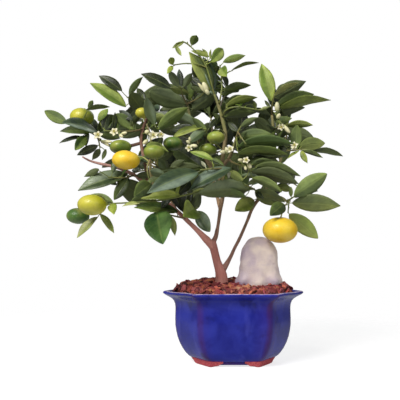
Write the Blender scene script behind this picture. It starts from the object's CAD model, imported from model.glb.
"""Calamondin orange bonsai in a six-sided glazed pot: the looks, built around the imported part."""
import math
import random

import bmesh
import bpy
import numpy as np
from mathutils import Matrix, Vector, noise
from mathutils.bvhtree import BVHTree


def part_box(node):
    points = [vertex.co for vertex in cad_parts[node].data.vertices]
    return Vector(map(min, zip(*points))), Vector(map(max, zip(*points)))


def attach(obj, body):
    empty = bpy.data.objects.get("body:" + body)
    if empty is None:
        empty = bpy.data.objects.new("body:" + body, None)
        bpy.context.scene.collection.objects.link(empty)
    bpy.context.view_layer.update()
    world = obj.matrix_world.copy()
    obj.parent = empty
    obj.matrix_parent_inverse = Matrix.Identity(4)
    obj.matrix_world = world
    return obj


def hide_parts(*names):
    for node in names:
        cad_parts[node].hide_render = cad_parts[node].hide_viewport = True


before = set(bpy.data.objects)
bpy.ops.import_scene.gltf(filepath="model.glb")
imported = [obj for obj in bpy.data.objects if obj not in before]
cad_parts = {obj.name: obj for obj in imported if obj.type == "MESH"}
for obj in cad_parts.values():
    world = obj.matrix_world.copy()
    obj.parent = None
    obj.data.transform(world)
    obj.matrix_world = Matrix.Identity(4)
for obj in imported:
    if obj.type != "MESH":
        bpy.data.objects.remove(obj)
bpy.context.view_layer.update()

# ---------------------------------------------------------------- where everything is
# The plant is laid out on a front elevation: a drawing board of 400 x 400 units, u to the
# right and v down, seen from a fixed eye point in front of the pot. A point is given as
# (u, v, depth), depth in millimetres behind the pot's middle plane, so that a leaf or a twig
# can be moved nearer or further along its sight line without changing the front elevation.
EYE = Vector((-0.0391, -0.744, 0.134))
TILT = math.radians(4.427)
FOCAL = 620.0
BOARD = (200.0, 200.0)
FORWARD = Vector((0.0, math.cos(TILT), math.sin(TILT)))
UPWARD = Vector((0.0, -math.sin(TILT), math.cos(TILT)))
RIGHT = Vector((1.0, 0.0, 0.0))
MM = 0.001
GAP = 0.00045            # clearance kept between separate pieces
TWIG_START, TWIG_END = 0.00130, 0.00085
LEAF_THICK = 0.0010
SEED = 20
FILL_SEED = 1
BOARD_STEP = 4
MOST_LEAVES = 325


def at(u, v, depth):
    ray = FORWARD * FOCAL + RIGHT * (u - BOARD[0]) + UPWARD * (BOARD[1] - v)
    return EYE + ray * ((depth * MM - EYE.y) / ray.y)


def seen(p):
    q = p - EYE
    f = q.dot(FORWARD)
    return BOARD[0] + FOCAL * q.x / f, BOARD[1] - FOCAL * q.dot(UPWARD) / f


def unit_at(p):
    """Length in metres of one board unit at the distance of p."""
    return (p - EYE).dot(FORWARD) / FOCAL


# Wood: each limb as (u, v, depth, radius in mm); a limb starts on the axis of an earlier one.
WOOD = [
    ("stem", [(221.8, 307, 0, 7.4), (221.8, 293, 0, 7.4), (221.8, 283, 0, 7.2), (221.2, 274.5, 0, 6.8), (219.0, 267.5, 0, 5.6), (216.9, 261, 0, 4.8),
              (215.4, 254.5, 0, 4.8), (213.5, 247.5, 0, 5.0), (212.2, 241.5, 0, 4.3)]),
    ("left", [(213.8, 248.6, 0, 4.5), (208.3, 241.6, -1, 4.2), (202.6, 235.6, -3, 3.7), (197, 230, -5, 3.0), (190.8, 224, -7, 2.6), (184, 217.5, -9, 2.5),
              (174, 208.5, -12, 2.5), (160, 197.5, -14, 2.5), (147, 187, -16, 2.4), (138, 177, -20, 2.1)]),
    ("left_low", [(138, 177, -20, 2.0), (125, 170.5, -26, 1.9), (112, 166.3, -30, 1.8), (98, 163.2, -32, 1.5), (89, 160.4, -32, 1.2), (82.5, 156.8, -31, 0.9)]),
    ("left_up", [(147, 187, -16, 2.3), (147, 172, -12, 2.3), (143.5, 156, -8, 2.1), (141, 141, -4, 2.0), (143, 129, 0, 1.9), (147, 118, 2, 1.8), (150, 108, 4, 1.5)]),
    ("left_far", [(141.3, 143, -4, 1.9), (127, 146.5, 3, 1.8), (113, 146.5, -2, 1.7), (102, 142, -12, 1.4)]),
    ("middle", [(212.6, 243, 0, 3.6), (215.6, 237, 1, 2.6), (217.0, 231, 1.5, 2.2), (218.1, 225, 2, 2.0), (219.4, 216, 3, 2.1), (220.5, 208, 4, 2.4), (222.6, 196, 6, 2.7), (222.4, 180, 8, 2.8),
                (222, 165, 8, 2.7), (224, 150, 6, 2.6), (225.5, 135, 4, 2.4), (222.5, 120, 2, 2.2), (218.6, 106, 0, 2.0), (214.4, 95, 0, 1.7)]),
    ("middle_left", [(222.4, 182, 8, 2.4), (212, 169, 14, 2.3), (203, 153, 20, 2.2), (196.5, 136, 24, 2.0), (190.5, 119, 24, 1.8), (188, 106, 22, 1.5)]),
    ("middle_right", [(222, 166, 8, 2.3), (228.5, 159, -12, 2.1), (233, 149, -28, 1.9), (236, 139, -38, 1.5)]),
    ("right", [(220.6, 273, 0, 5.0), (223.4, 268.6, 0, 3.9), (226.6, 264, 0.5, 2.8), (231, 256, 1.5, 2.2), (234.4, 248.4, 3, 2.0), (238.5, 240.7, 4, 1.95), (243.2, 230.5, 6, 1.9),
               (247.5, 220.3, 8, 1.9), (251.4, 210.3, 9, 2.0), (256.4, 202, 10, 2.1), (262, 195.5, 12, 2.2), (268, 187, 14, 2.2), (272.5, 175, 16, 2.2), (274.5, 160, 18, 2.1),
               (274.5, 145, 18, 2.0), (273.5, 130, 17, 1.8), (272, 115, 15, 1.5)]),
    ("right_low", [(260.6, 197, 11.5, 2.0), (271, 195.6, 6, 1.9), (281, 197.5, 0, 1.7), (287, 201.5, -6, 1.4)]),
    ("back_middle", [(220.4, 209, 4, 2.3), (216.5, 193, 30, 2.3), (212.5, 175, 55, 2.2), (210, 155, 75, 2.0), (212, 136, 90, 1.6)]),
    ("back_left", [(175.4, 209.8, -12, 2.2), (168, 191, 20, 2.2), (160, 172, 48, 2.1), (153, 152, 70, 1.9), (150, 133, 82, 1.6)]),
    ("back_right", [(268, 187.4, 14, 2.1), (276, 175, 42, 2.0), (281, 158, 66, 1.8), (284, 143, 80, 1.5)]),
    ("front_middle", [(222.6, 196.5, 6, 2.4), (221, 187, -20, 2.3), (222.5, 177, -45, 2.1), (227, 168, -62, 1.6)]),
    ("front_left", [(160.8, 198.2, -14, 2.2), (155, 187, -42, 2.1), (151, 173, -62, 1.8), (150, 160, -74, 1.4)]),
]

# Leaf sprays: (name, twigs, leaves, extra leaves). A twig is a list of (u, v, depth); a leaf is
# (u, v of the blade's foot, u, v of its tip, width in units, tone, how much deeper the tip is).
SPRAYS = [
    ("leaf_spray_01", [
        [(214.4, 95, 0), (212, 86, -4), (209, 75, -7), (205, 64, -9), (198, 54, -10), (190, 46, -10)],
        [(206, 67, -8), (198, 64.5, -12), (186, 63.5, -14), (173.5, 65, -15)],
        [(190, 46, -10), (184, 42, -12), (176, 43.5, -14)]],
     [(190, 47.5, 196.5, 35, 10, "g"), (184, 42, 172, 48, 5, "o"), (175, 45.5, 181.5, 56, 5, "o"), (212, 91, 189, 51, 15, "m", -8), (213, 92, 203, 56, 11, "b", 6),
      (209, 57, 191, 50.5, 6, "o"), (208, 56, 202, 48.5, 4, "o"), (210.5, 59, 211, 49, 3, "o"), (211, 62, 223, 48.5, 12, "l", 8), (173, 65, 170.5, 57, 8, "y"), (172.5, 66, 167, 74, 6, "y")], 2),
    ("leaf_spray_02", [
        [(218.6, 106, 0), (220.5, 97, -4), (222, 86, -2), (221, 74, 0), (220, 65, 0)],
        [(221.5, 78, -1), (226, 74, -3), (230, 71, -5)]],
     [(223, 62, 245.5, 55.5, 9, "l", -4), (218, 63, 227, 77, 11, "l", -10), (227, 87, 221, 71, 6, "k", 10), (231, 71, 259, 62.5, 2, "o", 4), (221, 90.5, 251, 85.5, 8, "d", -6),
      (222, 95, 238, 90.5, 6, "d", 12), (219, 66, 211, 77, 7, "k", 14)], 3),
    ("leaf_spray_03", [
        [(222, 118, 2), (226, 110, -10), (236, 107, -16), (247, 108, -20), (258, 110, -20)]],
     [(225, 104, 247, 96.5, 8, "k", 8), (225.5, 107, 257.5, 97.5, 8, "y", -6), (224, 112, 247, 109, 5, "k", 10), (225, 117, 257.5, 112.5, 9, "d", -8), (260, 110.5, 254, 102, 5, "o"),
      (260, 110, 270, 106.5, 4, "p")], 3),
    ("leaf_spray_04", [
        [(272, 115, 15), (272, 108, 6), (273, 101, 0), (274.5, 94, -4)]],
     [(271, 101, 261.5, 64, 15, "l", 4), (275, 98, 306, 81, 15, "k", 12), (277, 92, 286, 83, 6, "k", 8), (273.5, 97, 299, 82, 4.5, "c", -6), (270, 107, 264.5, 100, 4, "k"),
      (276, 106, 314, 94.5, 13, "g", 6), (278, 110, 331, 99, 8, "y", -6), (279, 114, 305, 107.5, 10, "k", 14)], 3),
    ("leaf_spray_05", [
        [(273.5, 130, 17), (278, 127, 4), (284, 125, -5), (290, 124, -10)]],
     [(276, 122, 292, 118.5, 9, "g", 4), (286, 126, 313, 125.5, 7, "y", -4), (272, 132, 255, 119, 12, "k", -6), (275, 137, 291, 131, 8, "k", 10), (275, 131, 263, 139, 8, "d", -10)], 4),
    ("leaf_spray_06", [
        [(274.5, 150, 18), (283, 150.5, 4), (292, 150.5, -8), (301, 149.5, -15), (311, 150, -20)]],
     [(296, 150, 297, 124, 12, "g", -4), (300, 146, 325, 143, 15, "o", 6), (312, 151, 343, 155.5, 5, "d"), (302, 151, 323, 158, 5, "d", -10), (301, 151, 307.5, 163.5, 7, "y", -6),
      (299, 151, 287.5, 158.5, 3, "o", -4), (286, 152, 278, 143, 7, "k", 8)], 3),
    ("leaf_spray_07", [
        [(236, 139, -38), (238, 132, -44), (241, 126, -46)], [(238, 132, -44), (241, 137, -52), (246, 144, -56)]],
     [(236, 138, 271, 133, 13, "g", -4), (238, 147, 294, 143, 12, "G", -10), (237, 154, 288, 154.5, 7, "l", -12), (241, 127, 258, 117, 8, "d", 6), (238, 132, 228, 122, 8, "k", 8)], 3),
    ("leaf_spray_08", [
        [(228.5, 159, -12), (234, 163, -26), (243, 166, -38), (252, 171, -46)]],
     [(250, 162, 287, 156, 6, "k", 6), (251, 164, 278, 163.5, 8, "g", -2), (255, 167, 300.5, 175, 10, "d", -10), (252, 172, 298.5, 184, 13, "k", -4), (241, 176, 260, 177, 6, "b", -8),
      (252, 178, 282, 192, 9, "g", -6), (243, 181, 229, 170.5, 10, "o", -12)], 3),
    ("leaf_spray_09", [
        [(260.4, 197.2, 11.4), (258.5, 193, -6), (252, 188, -20), (245, 185, -30)]],
     [(243, 184, 260, 178, 6, "k", -4), (252, 189, 197, 193.5, 17, "h", -22), (246, 197, 201, 194.5, 8, "G", -4), (255, 191, 285, 202, 9, "d", -6), (277, 186, 292, 190, 9, "o", -4),
      (254, 200, 235, 210.5, 15, "o", -4), (256, 192, 264, 199, 7, "k", -8)], 3),
    ("leaf_spray_10", [
        [(287, 201.5, -6), (290.5, 199, -12), (295, 196, -15)], [(289, 200, -9), (288.5, 207, -10), (288, 213, -9)]],
     [(294, 196, 327, 174, 18, "g", -4), (294, 197, 318, 191, 7, "b", 14), (292, 203, 340.5, 205.5, 18, "m", -8), (289, 214, 318, 238, 17, "y", 6), (284, 204, 270, 215.5, 14, "d", -4),
      (291, 197, 291, 186, 5, "l", 4)], 3),
    ("leaf_spray_11", [
        [(150, 108, 4), (143, 103, 0), (135, 99, -5), (127, 97.5, -9)]],
     [(122, 91, 99, 75.5, 10, "k", 2), (126, 107, 90, 83.5, 12, "l", -8), (129, 95, 143, 76.5, 8, "g", 4), (145, 112, 130, 94, 15, "k", -10), (145, 100, 137, 88, 8, "k", 12)], 4),
    ("leaf_spray_12", [
        [(188, 106, 22), (183.5, 98, 8), (181.5, 91, -2), (180, 86, -6)], [(187, 104, 18), (195, 100, 8), (201, 96, 0), (206, 90, -6)]],
     [(171, 88, 141, 74, 11, "k", -4), (179, 87, 169, 70.5, 10, "n", -8), (181, 87, 179, 69, 8, "n", 4), (184, 87, 192, 72.5, 9, "n", -4), (189, 93, 170, 88, 9, "o", -12),
      (186, 104, 149, 92, 19, "s", -16), (192, 110, 213, 94, 16, "n", -10), (206, 88, 188, 77, 9, "k", 8), (205, 92, 190, 87, 6, "k", -6)], 2),
    ("leaf_spray_13", [
        [(147, 118, 2), (152, 121, -12), (156, 127, -22)]],
     [(158, 128, 146, 96.5, 11, "b", -10), (158, 130, 188, 107.5, 13, "g", -14), (150, 119, 166, 116, 9, "o", -4)], 3),
    ("leaf_spray_14", [
        [(143, 129, 0), (134, 131, -12), (122, 131.5, -20), (112, 131, -25), (104, 131, -28)]],
     [(134, 140, 116, 113, 12, "g", -10), (133, 121, 119, 110, 9, "n", 6), (103, 131, 108, 114, 10, "k", 2), (113, 130, 115, 112, 6, "k", 12), (98, 121, 108, 109, 9, "l", 6),
      (130, 126, 143, 113, 8, "k", 8)], 3),
    ("leaf_spray_15", [
        [(102, 142, -12), (97, 136, -24), (88, 130, -34), (78, 125.5, -38), (68, 123.5, -38)], [(97, 136, -24), (99, 142, -32), (100, 148, -36)]],
     [(67, 123, 44.5, 110.5, 13, "g", -4), (98, 133, 62, 123, 9, "b", -22), (92, 132, 60, 131, 8, "d", -12), (83, 137, 59, 143.5, 4, "k", -2), (86, 136, 75, 150, 12, "g", -16),
      (88, 132, 86, 147, 6, "d", -6), (101, 145, 77, 155.5, 10, "k", -6), (100, 149, 92, 160, 8, "k", 2), (88, 108, 93, 100, 6, "d", 2), (86, 110, 110, 107, 5, "d", 4), (106, 149, 102, 160, 5, "d", 2)], 2),
    ("leaf_spray_16", [
        [(134, 175, -22), (127, 177.5, -34), (118, 178, -40), (108, 177, -44)]],
     [(128, 174, 78, 191, 14, "s", -12), (99, 169, 84, 176.5, 8, "k", 6), (129, 178, 114, 200, 12, "d", -8), (117, 185, 104, 178.5, 7, "d", 10)], 2),
    ("leaf_spray_17", [
        [(221, 187, -20), (206, 190, -33), (190, 194, -40), (175, 197.5, -44), (158, 200.5, -47), (140, 202, -50), (122, 203, -53), (110, 204, -55), (101, 208, -56)]],
     [(113, 202, 84, 198, 13, "d", 8), (112, 204, 114, 214.5, 11, "y", -8), (100, 214, 114, 233.5, 8, "y", -4), (98, 217, 77, 237.5, 7, "p", 0), (180, 195, 141, 199, 9, "o", -8),
      (140, 203, 122, 206, 4, "p", -6)], 2),
    ("leaf_spray_18", [
        [(185.4, 218.8, -8.6), (181, 217.6, -20), (172, 215.5, -28), (160, 212.5, -32), (150, 211.5, -33)], [(183, 217.8, -16), (191, 213, -24), (197, 207, -28)]],
     [(178, 212, 134, 208, 10, "g", -6), (157, 212, 163, 244.5, 28, "G", -16), (171, 216, 175, 236, 8, "o", 6), (197, 211, 210, 232, 14, "h", -6), (197, 197, 183, 216, 22, "l", -14)], 2),
    ("leaf_spray_19", [
        [(150, 160, -74), (147, 168, -80), (149, 178, -80)], [(151, 173, -62), (160, 172, -72), (168, 175, -76)]],
     [(151, 184, 134, 196, 17, "d", -10), (172, 176, 150, 171, 10, "b", -10), (160, 176, 146, 182, 7, "d", 6)], 2),
    ("leaf_spray_20", [
        [(227, 168, -62), (219, 168.5, -72), (209, 169, -78), (200, 170, -80)], [(227, 168, -62), (233, 171, -68)]],
     [(198, 172, 147, 192.5, 17, "b", -14), (231, 168, 190, 190.5, 13, "b", -16), (233, 170, 205, 171, 7, "n", 6), (213, 160, 190, 152, 7, "l", 8), (224, 166, 207, 158, 6, "d", 10),
      (229, 171, 229, 178, 4, "w", -4), (206, 167, 201, 161, 4, "w", -4)], 2),
    ("leaf_spray_21", [
        [(144, 158, -9), (151, 162, -26), (160, 167, -36), (168, 171, -42)]],
     [(166, 177, 159, 160, 9, "b", -6), (200, 166, 168, 173, 12, "k", 2), (146, 146, 168.5, 152, 8, "l", -22), (170, 168, 185, 160, 8, "k", -4)], 3),
    ("leaf_spray_22", [
        [(203, 153, 20), (206, 143, 2), (207, 135, -10), (206, 129, -18)]],
     [(207, 130, 192, 117.5, 8, "g", -12), (203, 127, 172, 137, 6, "o", -4), (204, 131, 189, 142, 12, "s", -14), (196, 128, 170, 131, 10, "k", 10), (205, 140, 196, 152, 9, "d", 4),
      (209, 128, 217, 118, 7, "k", 10)], 3),
    ("leaf_spray_23", [[(219.4, 109, 0), (222, 101, 20), (226, 94, 38), (228, 88, 54)]], [], 9),
    ("leaf_spray_24", [[(276, 175, 42), (284, 178, 58), (293, 183, 68), (299, 187, 72)]], [], 9),
    ("leaf_spray_25", [[(212, 136, 90), (212, 124, 97), (209, 111, 99), (205, 99, 96)]], [], 9),
    ("leaf_spray_26", [[(210, 155, 75), (221, 151, 92), (234, 148, 103), (245, 150, 108)]], [], 9),
    ("leaf_spray_27", [[(212.5, 175, 55), (205, 173, 78), (197, 174, 95), (188, 178, 104)]], [], 9),
    ("leaf_spray_28", [[(150, 133, 82), (146, 123, 89), (141, 114, 90)]], [], 9),
    ("leaf_spray_29", [[(160, 172, 48), (149, 170, 64), (137, 172, 76), (127, 176, 80)]], [], 9),
    ("leaf_spray_30", [[(284, 143, 80), (287, 133, 88), (286, 123, 88)]], [], 9),
]

# Fruits: (name, u, v, depth, width, height, tone, anchor on a twig or limb)
FRUITS = [
    ("calamondin_01", 280, 230, -26, 35, 26, "ripe", (287.5, 203, -7)),
    ("calamondin_02", 126, 160, -62, 28, 20, "ripe", (150.3, 163, -71)),
    ("calamondin_03", 120.5, 147, -18, 22, 14, "lime", (119, 146.5, 1)),
    ("calamondin_04", 92, 205, -66, 29, 23, "turning", (108, 204.5, -55)),
    ("calamondin_05", 78, 216, -44, 23, 16, "green", (102, 207.5, -56)),
    ("calamondin_06", 82, 117, -26, 24, 18, "turning", (90, 131.5, -33)),
    ("calamondin_07", 216, 137.5, -26, 18, 14, "lime", (225.3, 134, 4)),
    ("calamondin_08", 208, 149.5, -32, 18, 14, "lime", (223.5, 152, 6)),
    ("calamondin_09", 173, 143.5, -20, 20, 15, "green", (199, 141, 22)),
    ("calamondin_10", 142, 113, -18, 17, 13, "turning", (146.6, 119, 2)),
    ("calamondin_11", 154, 152, -46, 21, 14, "lime", (158, 166, -34)),
    ("calamondin_12", 248, 166, 112, 22, 17, "green", (240, 149, 106)),
    ("calamondin_13", 172, 190, 92, 22, 18, "lime", (190, 177, 102)),
]

# Blossom clusters: (name, anchor, flowers as (u, v, depth, width), buds as (u, v, depth, tip u, tip v, width))
BLOSSOMS = [
    ("blossom_01", (101, 141, -14), [(98, 135.5, -46, 12)], [(102, 141, -38, 112, 142, 4), (101, 140, -36, 109, 146, 3.5)]),
    ("blossom_02", (120, 131.5, -21), [(114.5, 132, -46, 12)], [(121, 134, -42, 127, 132.5, 4), (119, 134.5, -44, 123, 137, 4)]),
    ("blossom_03", (142, 134, -1), [(153, 135.5, -36, 13), (160.5, 135, -32, 8)], [(148, 140, -30, 143, 144, 5), (148, 134, -30, 146, 130, 6)]),
    ("blossom_04", (206, 90, -5), [], [(207.5, 93, -14, 203, 82, 7), (209, 95, -14, 205.5, 89, 5), (207, 94, -10, 198, 83, 4)]),
    ("blossom_05", (200, 146, 21), [(189, 148, -44, 9)], [(190, 146, -40, 197.5, 146, 5), (190, 144, -38, 186.5, 140.5, 4), (190, 142, -36, 189.5, 137, 3.5)]),
    ("blossom_06", (226, 161, -5), [(230, 149.5, -50, 11)], [(226, 152, -44, 220, 152, 5), (227, 154, -42, 226, 147, 4)]),
    ("blossom_07", (237, 164, -30), [(246, 160.5, -58, 10)], [(243, 160, -54, 238, 160, 4), (248, 164, -52, 251, 168, 5), (245, 166, -50, 246, 170, 3.5)]),
    ("blossom_08", (273, 112, 11), [(281, 127, -22, 8)], [(277, 112, -10, 277, 102, 6), (277, 119, -12, 280, 113.5, 5), (283, 125, -20, 290, 133, 5)]),
    ("blossom_09", (290, 150.5, -5), [(294, 145.5, -32, 9)], [(292, 148, -26, 296, 149, 4)]),
]

# Outline of the crown on the board, and the places where one sees right through it
CROWN = [(190, 56), (203, 53), (212, 57), (221, 52), (225, 62), (223, 78), (226, 84), (240, 87), (240, 92), (228, 97), (240, 96), (252, 99), (255, 104), (262, 111), (268, 104), (270, 92), (266, 80),
         (276, 86), (285, 92), (300, 84), (303, 92), (306, 103), (298, 110), (288, 117), (296, 124), (300, 134), (318, 138), (321, 146), (310, 152), (298, 152), (285, 156), (278, 160), (290, 168),
         (296, 176), (296, 184), (288, 189), (292, 194), (300, 196), (300, 206), (286, 208), (276, 206), (264, 200), (256, 200), (245, 197), (230, 198), (212, 197), (202, 196), (200, 205),
         (190, 214), (176, 213), (165, 211), (147, 209), (137, 207), (130, 205), (120, 202), (122, 199), (118, 196), (124, 190), (132, 182), (136, 175), (130, 171), (112, 168), (102, 165),
         (94, 158), (100, 150), (110, 149), (108, 145), (100, 141), (90, 138), (84, 134), (64, 130), (62, 126), (70, 119), (90, 118), (98, 112), (110, 115), (118, 112), (131, 108), (129, 95), (134, 92),
         (148, 92), (160, 86), (168, 88), (170, 78), (170, 71), (182, 71), (190, 75), (192, 66)]
SEE_THROUGH = [(206, 118.5, 8, 6), (247, 117, 10, 4.5), (147, 86.5, 12, 6), (134, 146, 11, 5.5), (136, 185, 7, 12), (105, 156, 8, 7), (122, 197, 7, 5), (256, 185.5, 7, 4), (250.5, 196, 6, 6),
               (276, 185.5, 5, 4.5), (285, 197, 5.5, 5), (231, 78, 8, 6)]


def in_crown(u, v):
    for cu, cv, a, b in SEE_THROUGH:
        if ((u - cu) / a) ** 2 + ((v - cv) / b) ** 2 < 1:
            return False
    inside = False
    for (u1, v1), (u2, v2) in zip(CROWN, CROWN[1:] + CROWN[:1]):
        if (v1 > v) != (v2 > v) and u < u1 + (v - v1) * (u2 - u1) / (v2 - v1):
            inside = not inside
    return inside


def smooth_path(points, radii, step):
    """Points and radii read off a Catmull-Rom curve through the given points, about step apart."""
    out = []
    n = len(points)
    for i in range(n - 1):
        p0, p1, p2, p3 = points[max(i - 1, 0)], points[i], points[i + 1], points[min(i + 2, n - 1)]
        parts = max(1, round((p2 - p1).length / step))
        for k in range(parts):
            t = k / parts
            q = 0.5 * ((2 * p1) + (p2 - p0) * t + (2 * p0 - 5 * p1 + 4 * p2 - p3) * t * t + (3 * p1 - p0 - 3 * p2 + p3) * t ** 3)
            out.append((q, radii[i] + (radii[i + 1] - radii[i]) * t))
    out.append((points[-1].copy(), radii[-1]))
    return out


def along(path, step):
    """Points and radii about step apart on the straight pieces of a path."""
    out = []
    for (p, r), (q, s) in zip(path, path[1:]):
        parts = max(1, round((q - p).length / step))
        out += [(p.lerp(q, k / parts), r + (s - r) * k / parts) for k in range(parts)]
    return out + [path[-1]]


def tube_surface(path, sides=7, grow=0.0):
    """Vertices and faces of a closed round tube along a path, for measuring clearances."""
    verts, faces = [], []
    n = len(path)
    ref = None
    for i, (p, r) in enumerate(path):
        t = (path[min(i + 1, n - 1)][0] - path[max(i - 1, 0)][0]).normalized()
        if ref is None:
            ref = t.orthogonal().normalized()
        ref = (ref - t * ref.dot(t)).normalized()
        other = t.cross(ref)
        for k in range(sides):
            a = 2 * math.pi * k / sides
            verts.append(p + (ref * math.cos(a) + other * math.sin(a)) * (r + grow))
    for i in range(n - 1):
        for k in range(sides):
            a, b = i * sides + k, i * sides + (k + 1) % sides
            faces.append((a, b, b + sides, a + sides))
    faces.append(tuple(reversed(range(sides))))
    faces.append(tuple(range((n - 1) * sides, n * sides)))
    return verts, faces


class Body:
    """A closed surface that other pieces are kept clear of."""

    def __init__(self, owner, verts, faces):
        self.owner = owner
        self.tree = BVHTree.FromPolygons(verts, faces)
        self.low = [min(v[i] for v in verts) for i in range(3)]
        self.high = [max(v[i] for v in verts) for i in range(3)]

    def meets(self, other):
        for i in range(3):
            if self.high[i] < other.low[i] or other.high[i] < self.low[i]:
                return False
        return bool(self.tree.overlap(other.tree))


def segments_near(paths, start, reach):
    """The straight pieces of the paths that come within reach of start: (end, end, radius, radius)."""
    out = []
    for path in paths:
        for (a, ra), (b, rb) in zip(path, path[1:]):
            if min((a - start).length, (b - start).length) < reach:
                out.append((a, b, ra, rb))
    return out


def outside(segments, p, clearance):
    """Whether p is at least clearance away from every flat-ended bar."""
    for a, b, ra, rb in segments:
        line = b - a
        length = line.length
        s = (p - a).dot(line) / length
        r = ra + (rb - ra) * min(max(s / length, 0.0), 1.0)
        lateral = (p - a - line * (s / length)).length
        if max(lateral - r, s - length, -s) < clearance:
            return False
    return True


def trimmed(path, paths, clearance=GAP):
    """The path from the first point whose whole end face clears the other paths' bars."""
    fine = smooth_path([p for p, _ in path], [r for _, r in path], 0.0006)
    segments = segments_near(paths, path[0][0], 0.05)
    for i in range(len(fine) - 2):
        p, r = fine[i]
        t = (fine[i + 1][0] - p).normalized()
        ref = t.orthogonal().normalized()
        other = t.cross(ref)
        ring = [p] + [p + (ref * math.cos(a) + other * math.sin(a)) * (r * 1.05) for a in (k * math.pi / 6 for k in range(12))]
        if all(outside(segments, q, clearance) for q in ring):
            left = fine[i:]
            keep = [left[0]]
            for q in left[1:-1]:
                if (q[0] - keep[-1][0]).length > 0.0075 and (left[-1][0] - q[0]).length > 0.003:
                    keep.append(q)
            return keep + [left[-1]]
    return path


SECTIONS = ((0.02, 0.09), (0.44, 1.0), (0.79, 0.66))     # station along the blade, share of full width


class Leaf:
    """A blade from foot to tip on a short stalk; side is its width direction and face its normal."""

    def __init__(self, spray, root, foot, tip, width, side, face, tone):
        self.spray, self.root, self.foot, self.tip = spray, root, foot, tip
        self.width, self.side, self.face, self.tone = width, side, face, tone
        self.length = (tip - foot).length

    def middle(self, s):
        return self.foot.lerp(self.tip, s) + self.face * (0.22 * self.length * s * (1 - s))

    def corners(self, grow=0.0):
        """The 14 corners of the solid: the stalk's end, three rings of four, and the tip."""
        stalk = (self.foot - self.root)
        along = stalk.normalized() if stalk.length > 1e-6 else (self.tip - self.foot).normalized()
        out = [self.root - along * 0.0004]
        for s, share in SECTIONS:
            c = self.middle(s)
            half = max(self.width * 0.5 * share, 0.0008) + grow
            thick = (LEAF_THICK if share > 0.3 else 0.0014) * 0.5 + grow
            side, face = self.side, self.face
            if share < 0.3:      # the blade's foot is square to a line between the stalk's direction and its own
                blade = (self.tip - self.foot).normalized()
                mitre = (along + blade * 1.2).normalized()
                turn = blade.rotation_difference(mitre)
                side, face = turn @ side, turn @ face
            lift = face * (half * 0.16 if share > 0.3 else 0.0)
            out += [c + side * half + lift, c + face * thick, c - side * half + lift, c - face * thick]
        tip = self.tip + (self.tip - self.foot).normalized() * grow
        return out + [tip]

    FACES = [(0, 2, 1), (0, 3, 2), (0, 4, 3), (0, 1, 4)] + [
        (a + k, a + (k + 1) % 4, a + 4 + (k + 1) % 4, a + 4 + k) for a in (1, 5) for k in range(4)] + [
        (13, 9, 10), (13, 10, 11), (13, 11, 12), (13, 12, 9)]

    def bodies(self, grow):
        verts = self.corners(grow)
        return Body(self.spray, verts, self.FACES), Body(self.spray, verts, [f for f in self.FACES if min(f) >= 5])


def blade_axes(foot, tip, roll, upright=False):
    axis = (tip - foot).normalized()
    if upright:
        side = axis.cross(Vector((0, 0, 1)))
        if side.length < 0.2:
            side = axis.cross(Vector((1, 0, 0)))
    else:
        side = axis.cross((EYE - foot.lerp(tip, 0.5)).normalized())
    side = Matrix.Rotation(roll, 3, axis) @ side.normalized()
    face = side.cross(axis).normalized()
    if face.z < 0:
        face, side = -face, -side
    return side, face


def ellipsoid(centre, axis, across, along, rings=7, sides=10):
    """Closed surface of a fruit whose stalk leaves along axis."""
    ref = axis.orthogonal().normalized()
    other = axis.cross(ref)
    verts, faces = [centre + axis * along], []
    for i in range(1, rings):
        a = math.pi * i / rings
        for k in range(sides):
            b = 2 * math.pi * k / sides
            verts.append(centre + axis * along * math.cos(a) + (ref * math.cos(b) + other * math.sin(b)) * across * math.sin(a))
    verts.append(centre - axis * along)
    last = len(verts) - 1
    for k in range(sides):
        faces.append((0, 1 + k, 1 + (k + 1) % sides))
        faces.append((last, last - sides + (k + 1) % sides, last - sides + k))
    for i in range(rings - 2):
        for k in range(sides):
            a, b = 1 + i * sides + k, 1 + i * sides + (k + 1) % sides
            faces.append((a, a + sides, b + sides, b))
    return verts, faces


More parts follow.
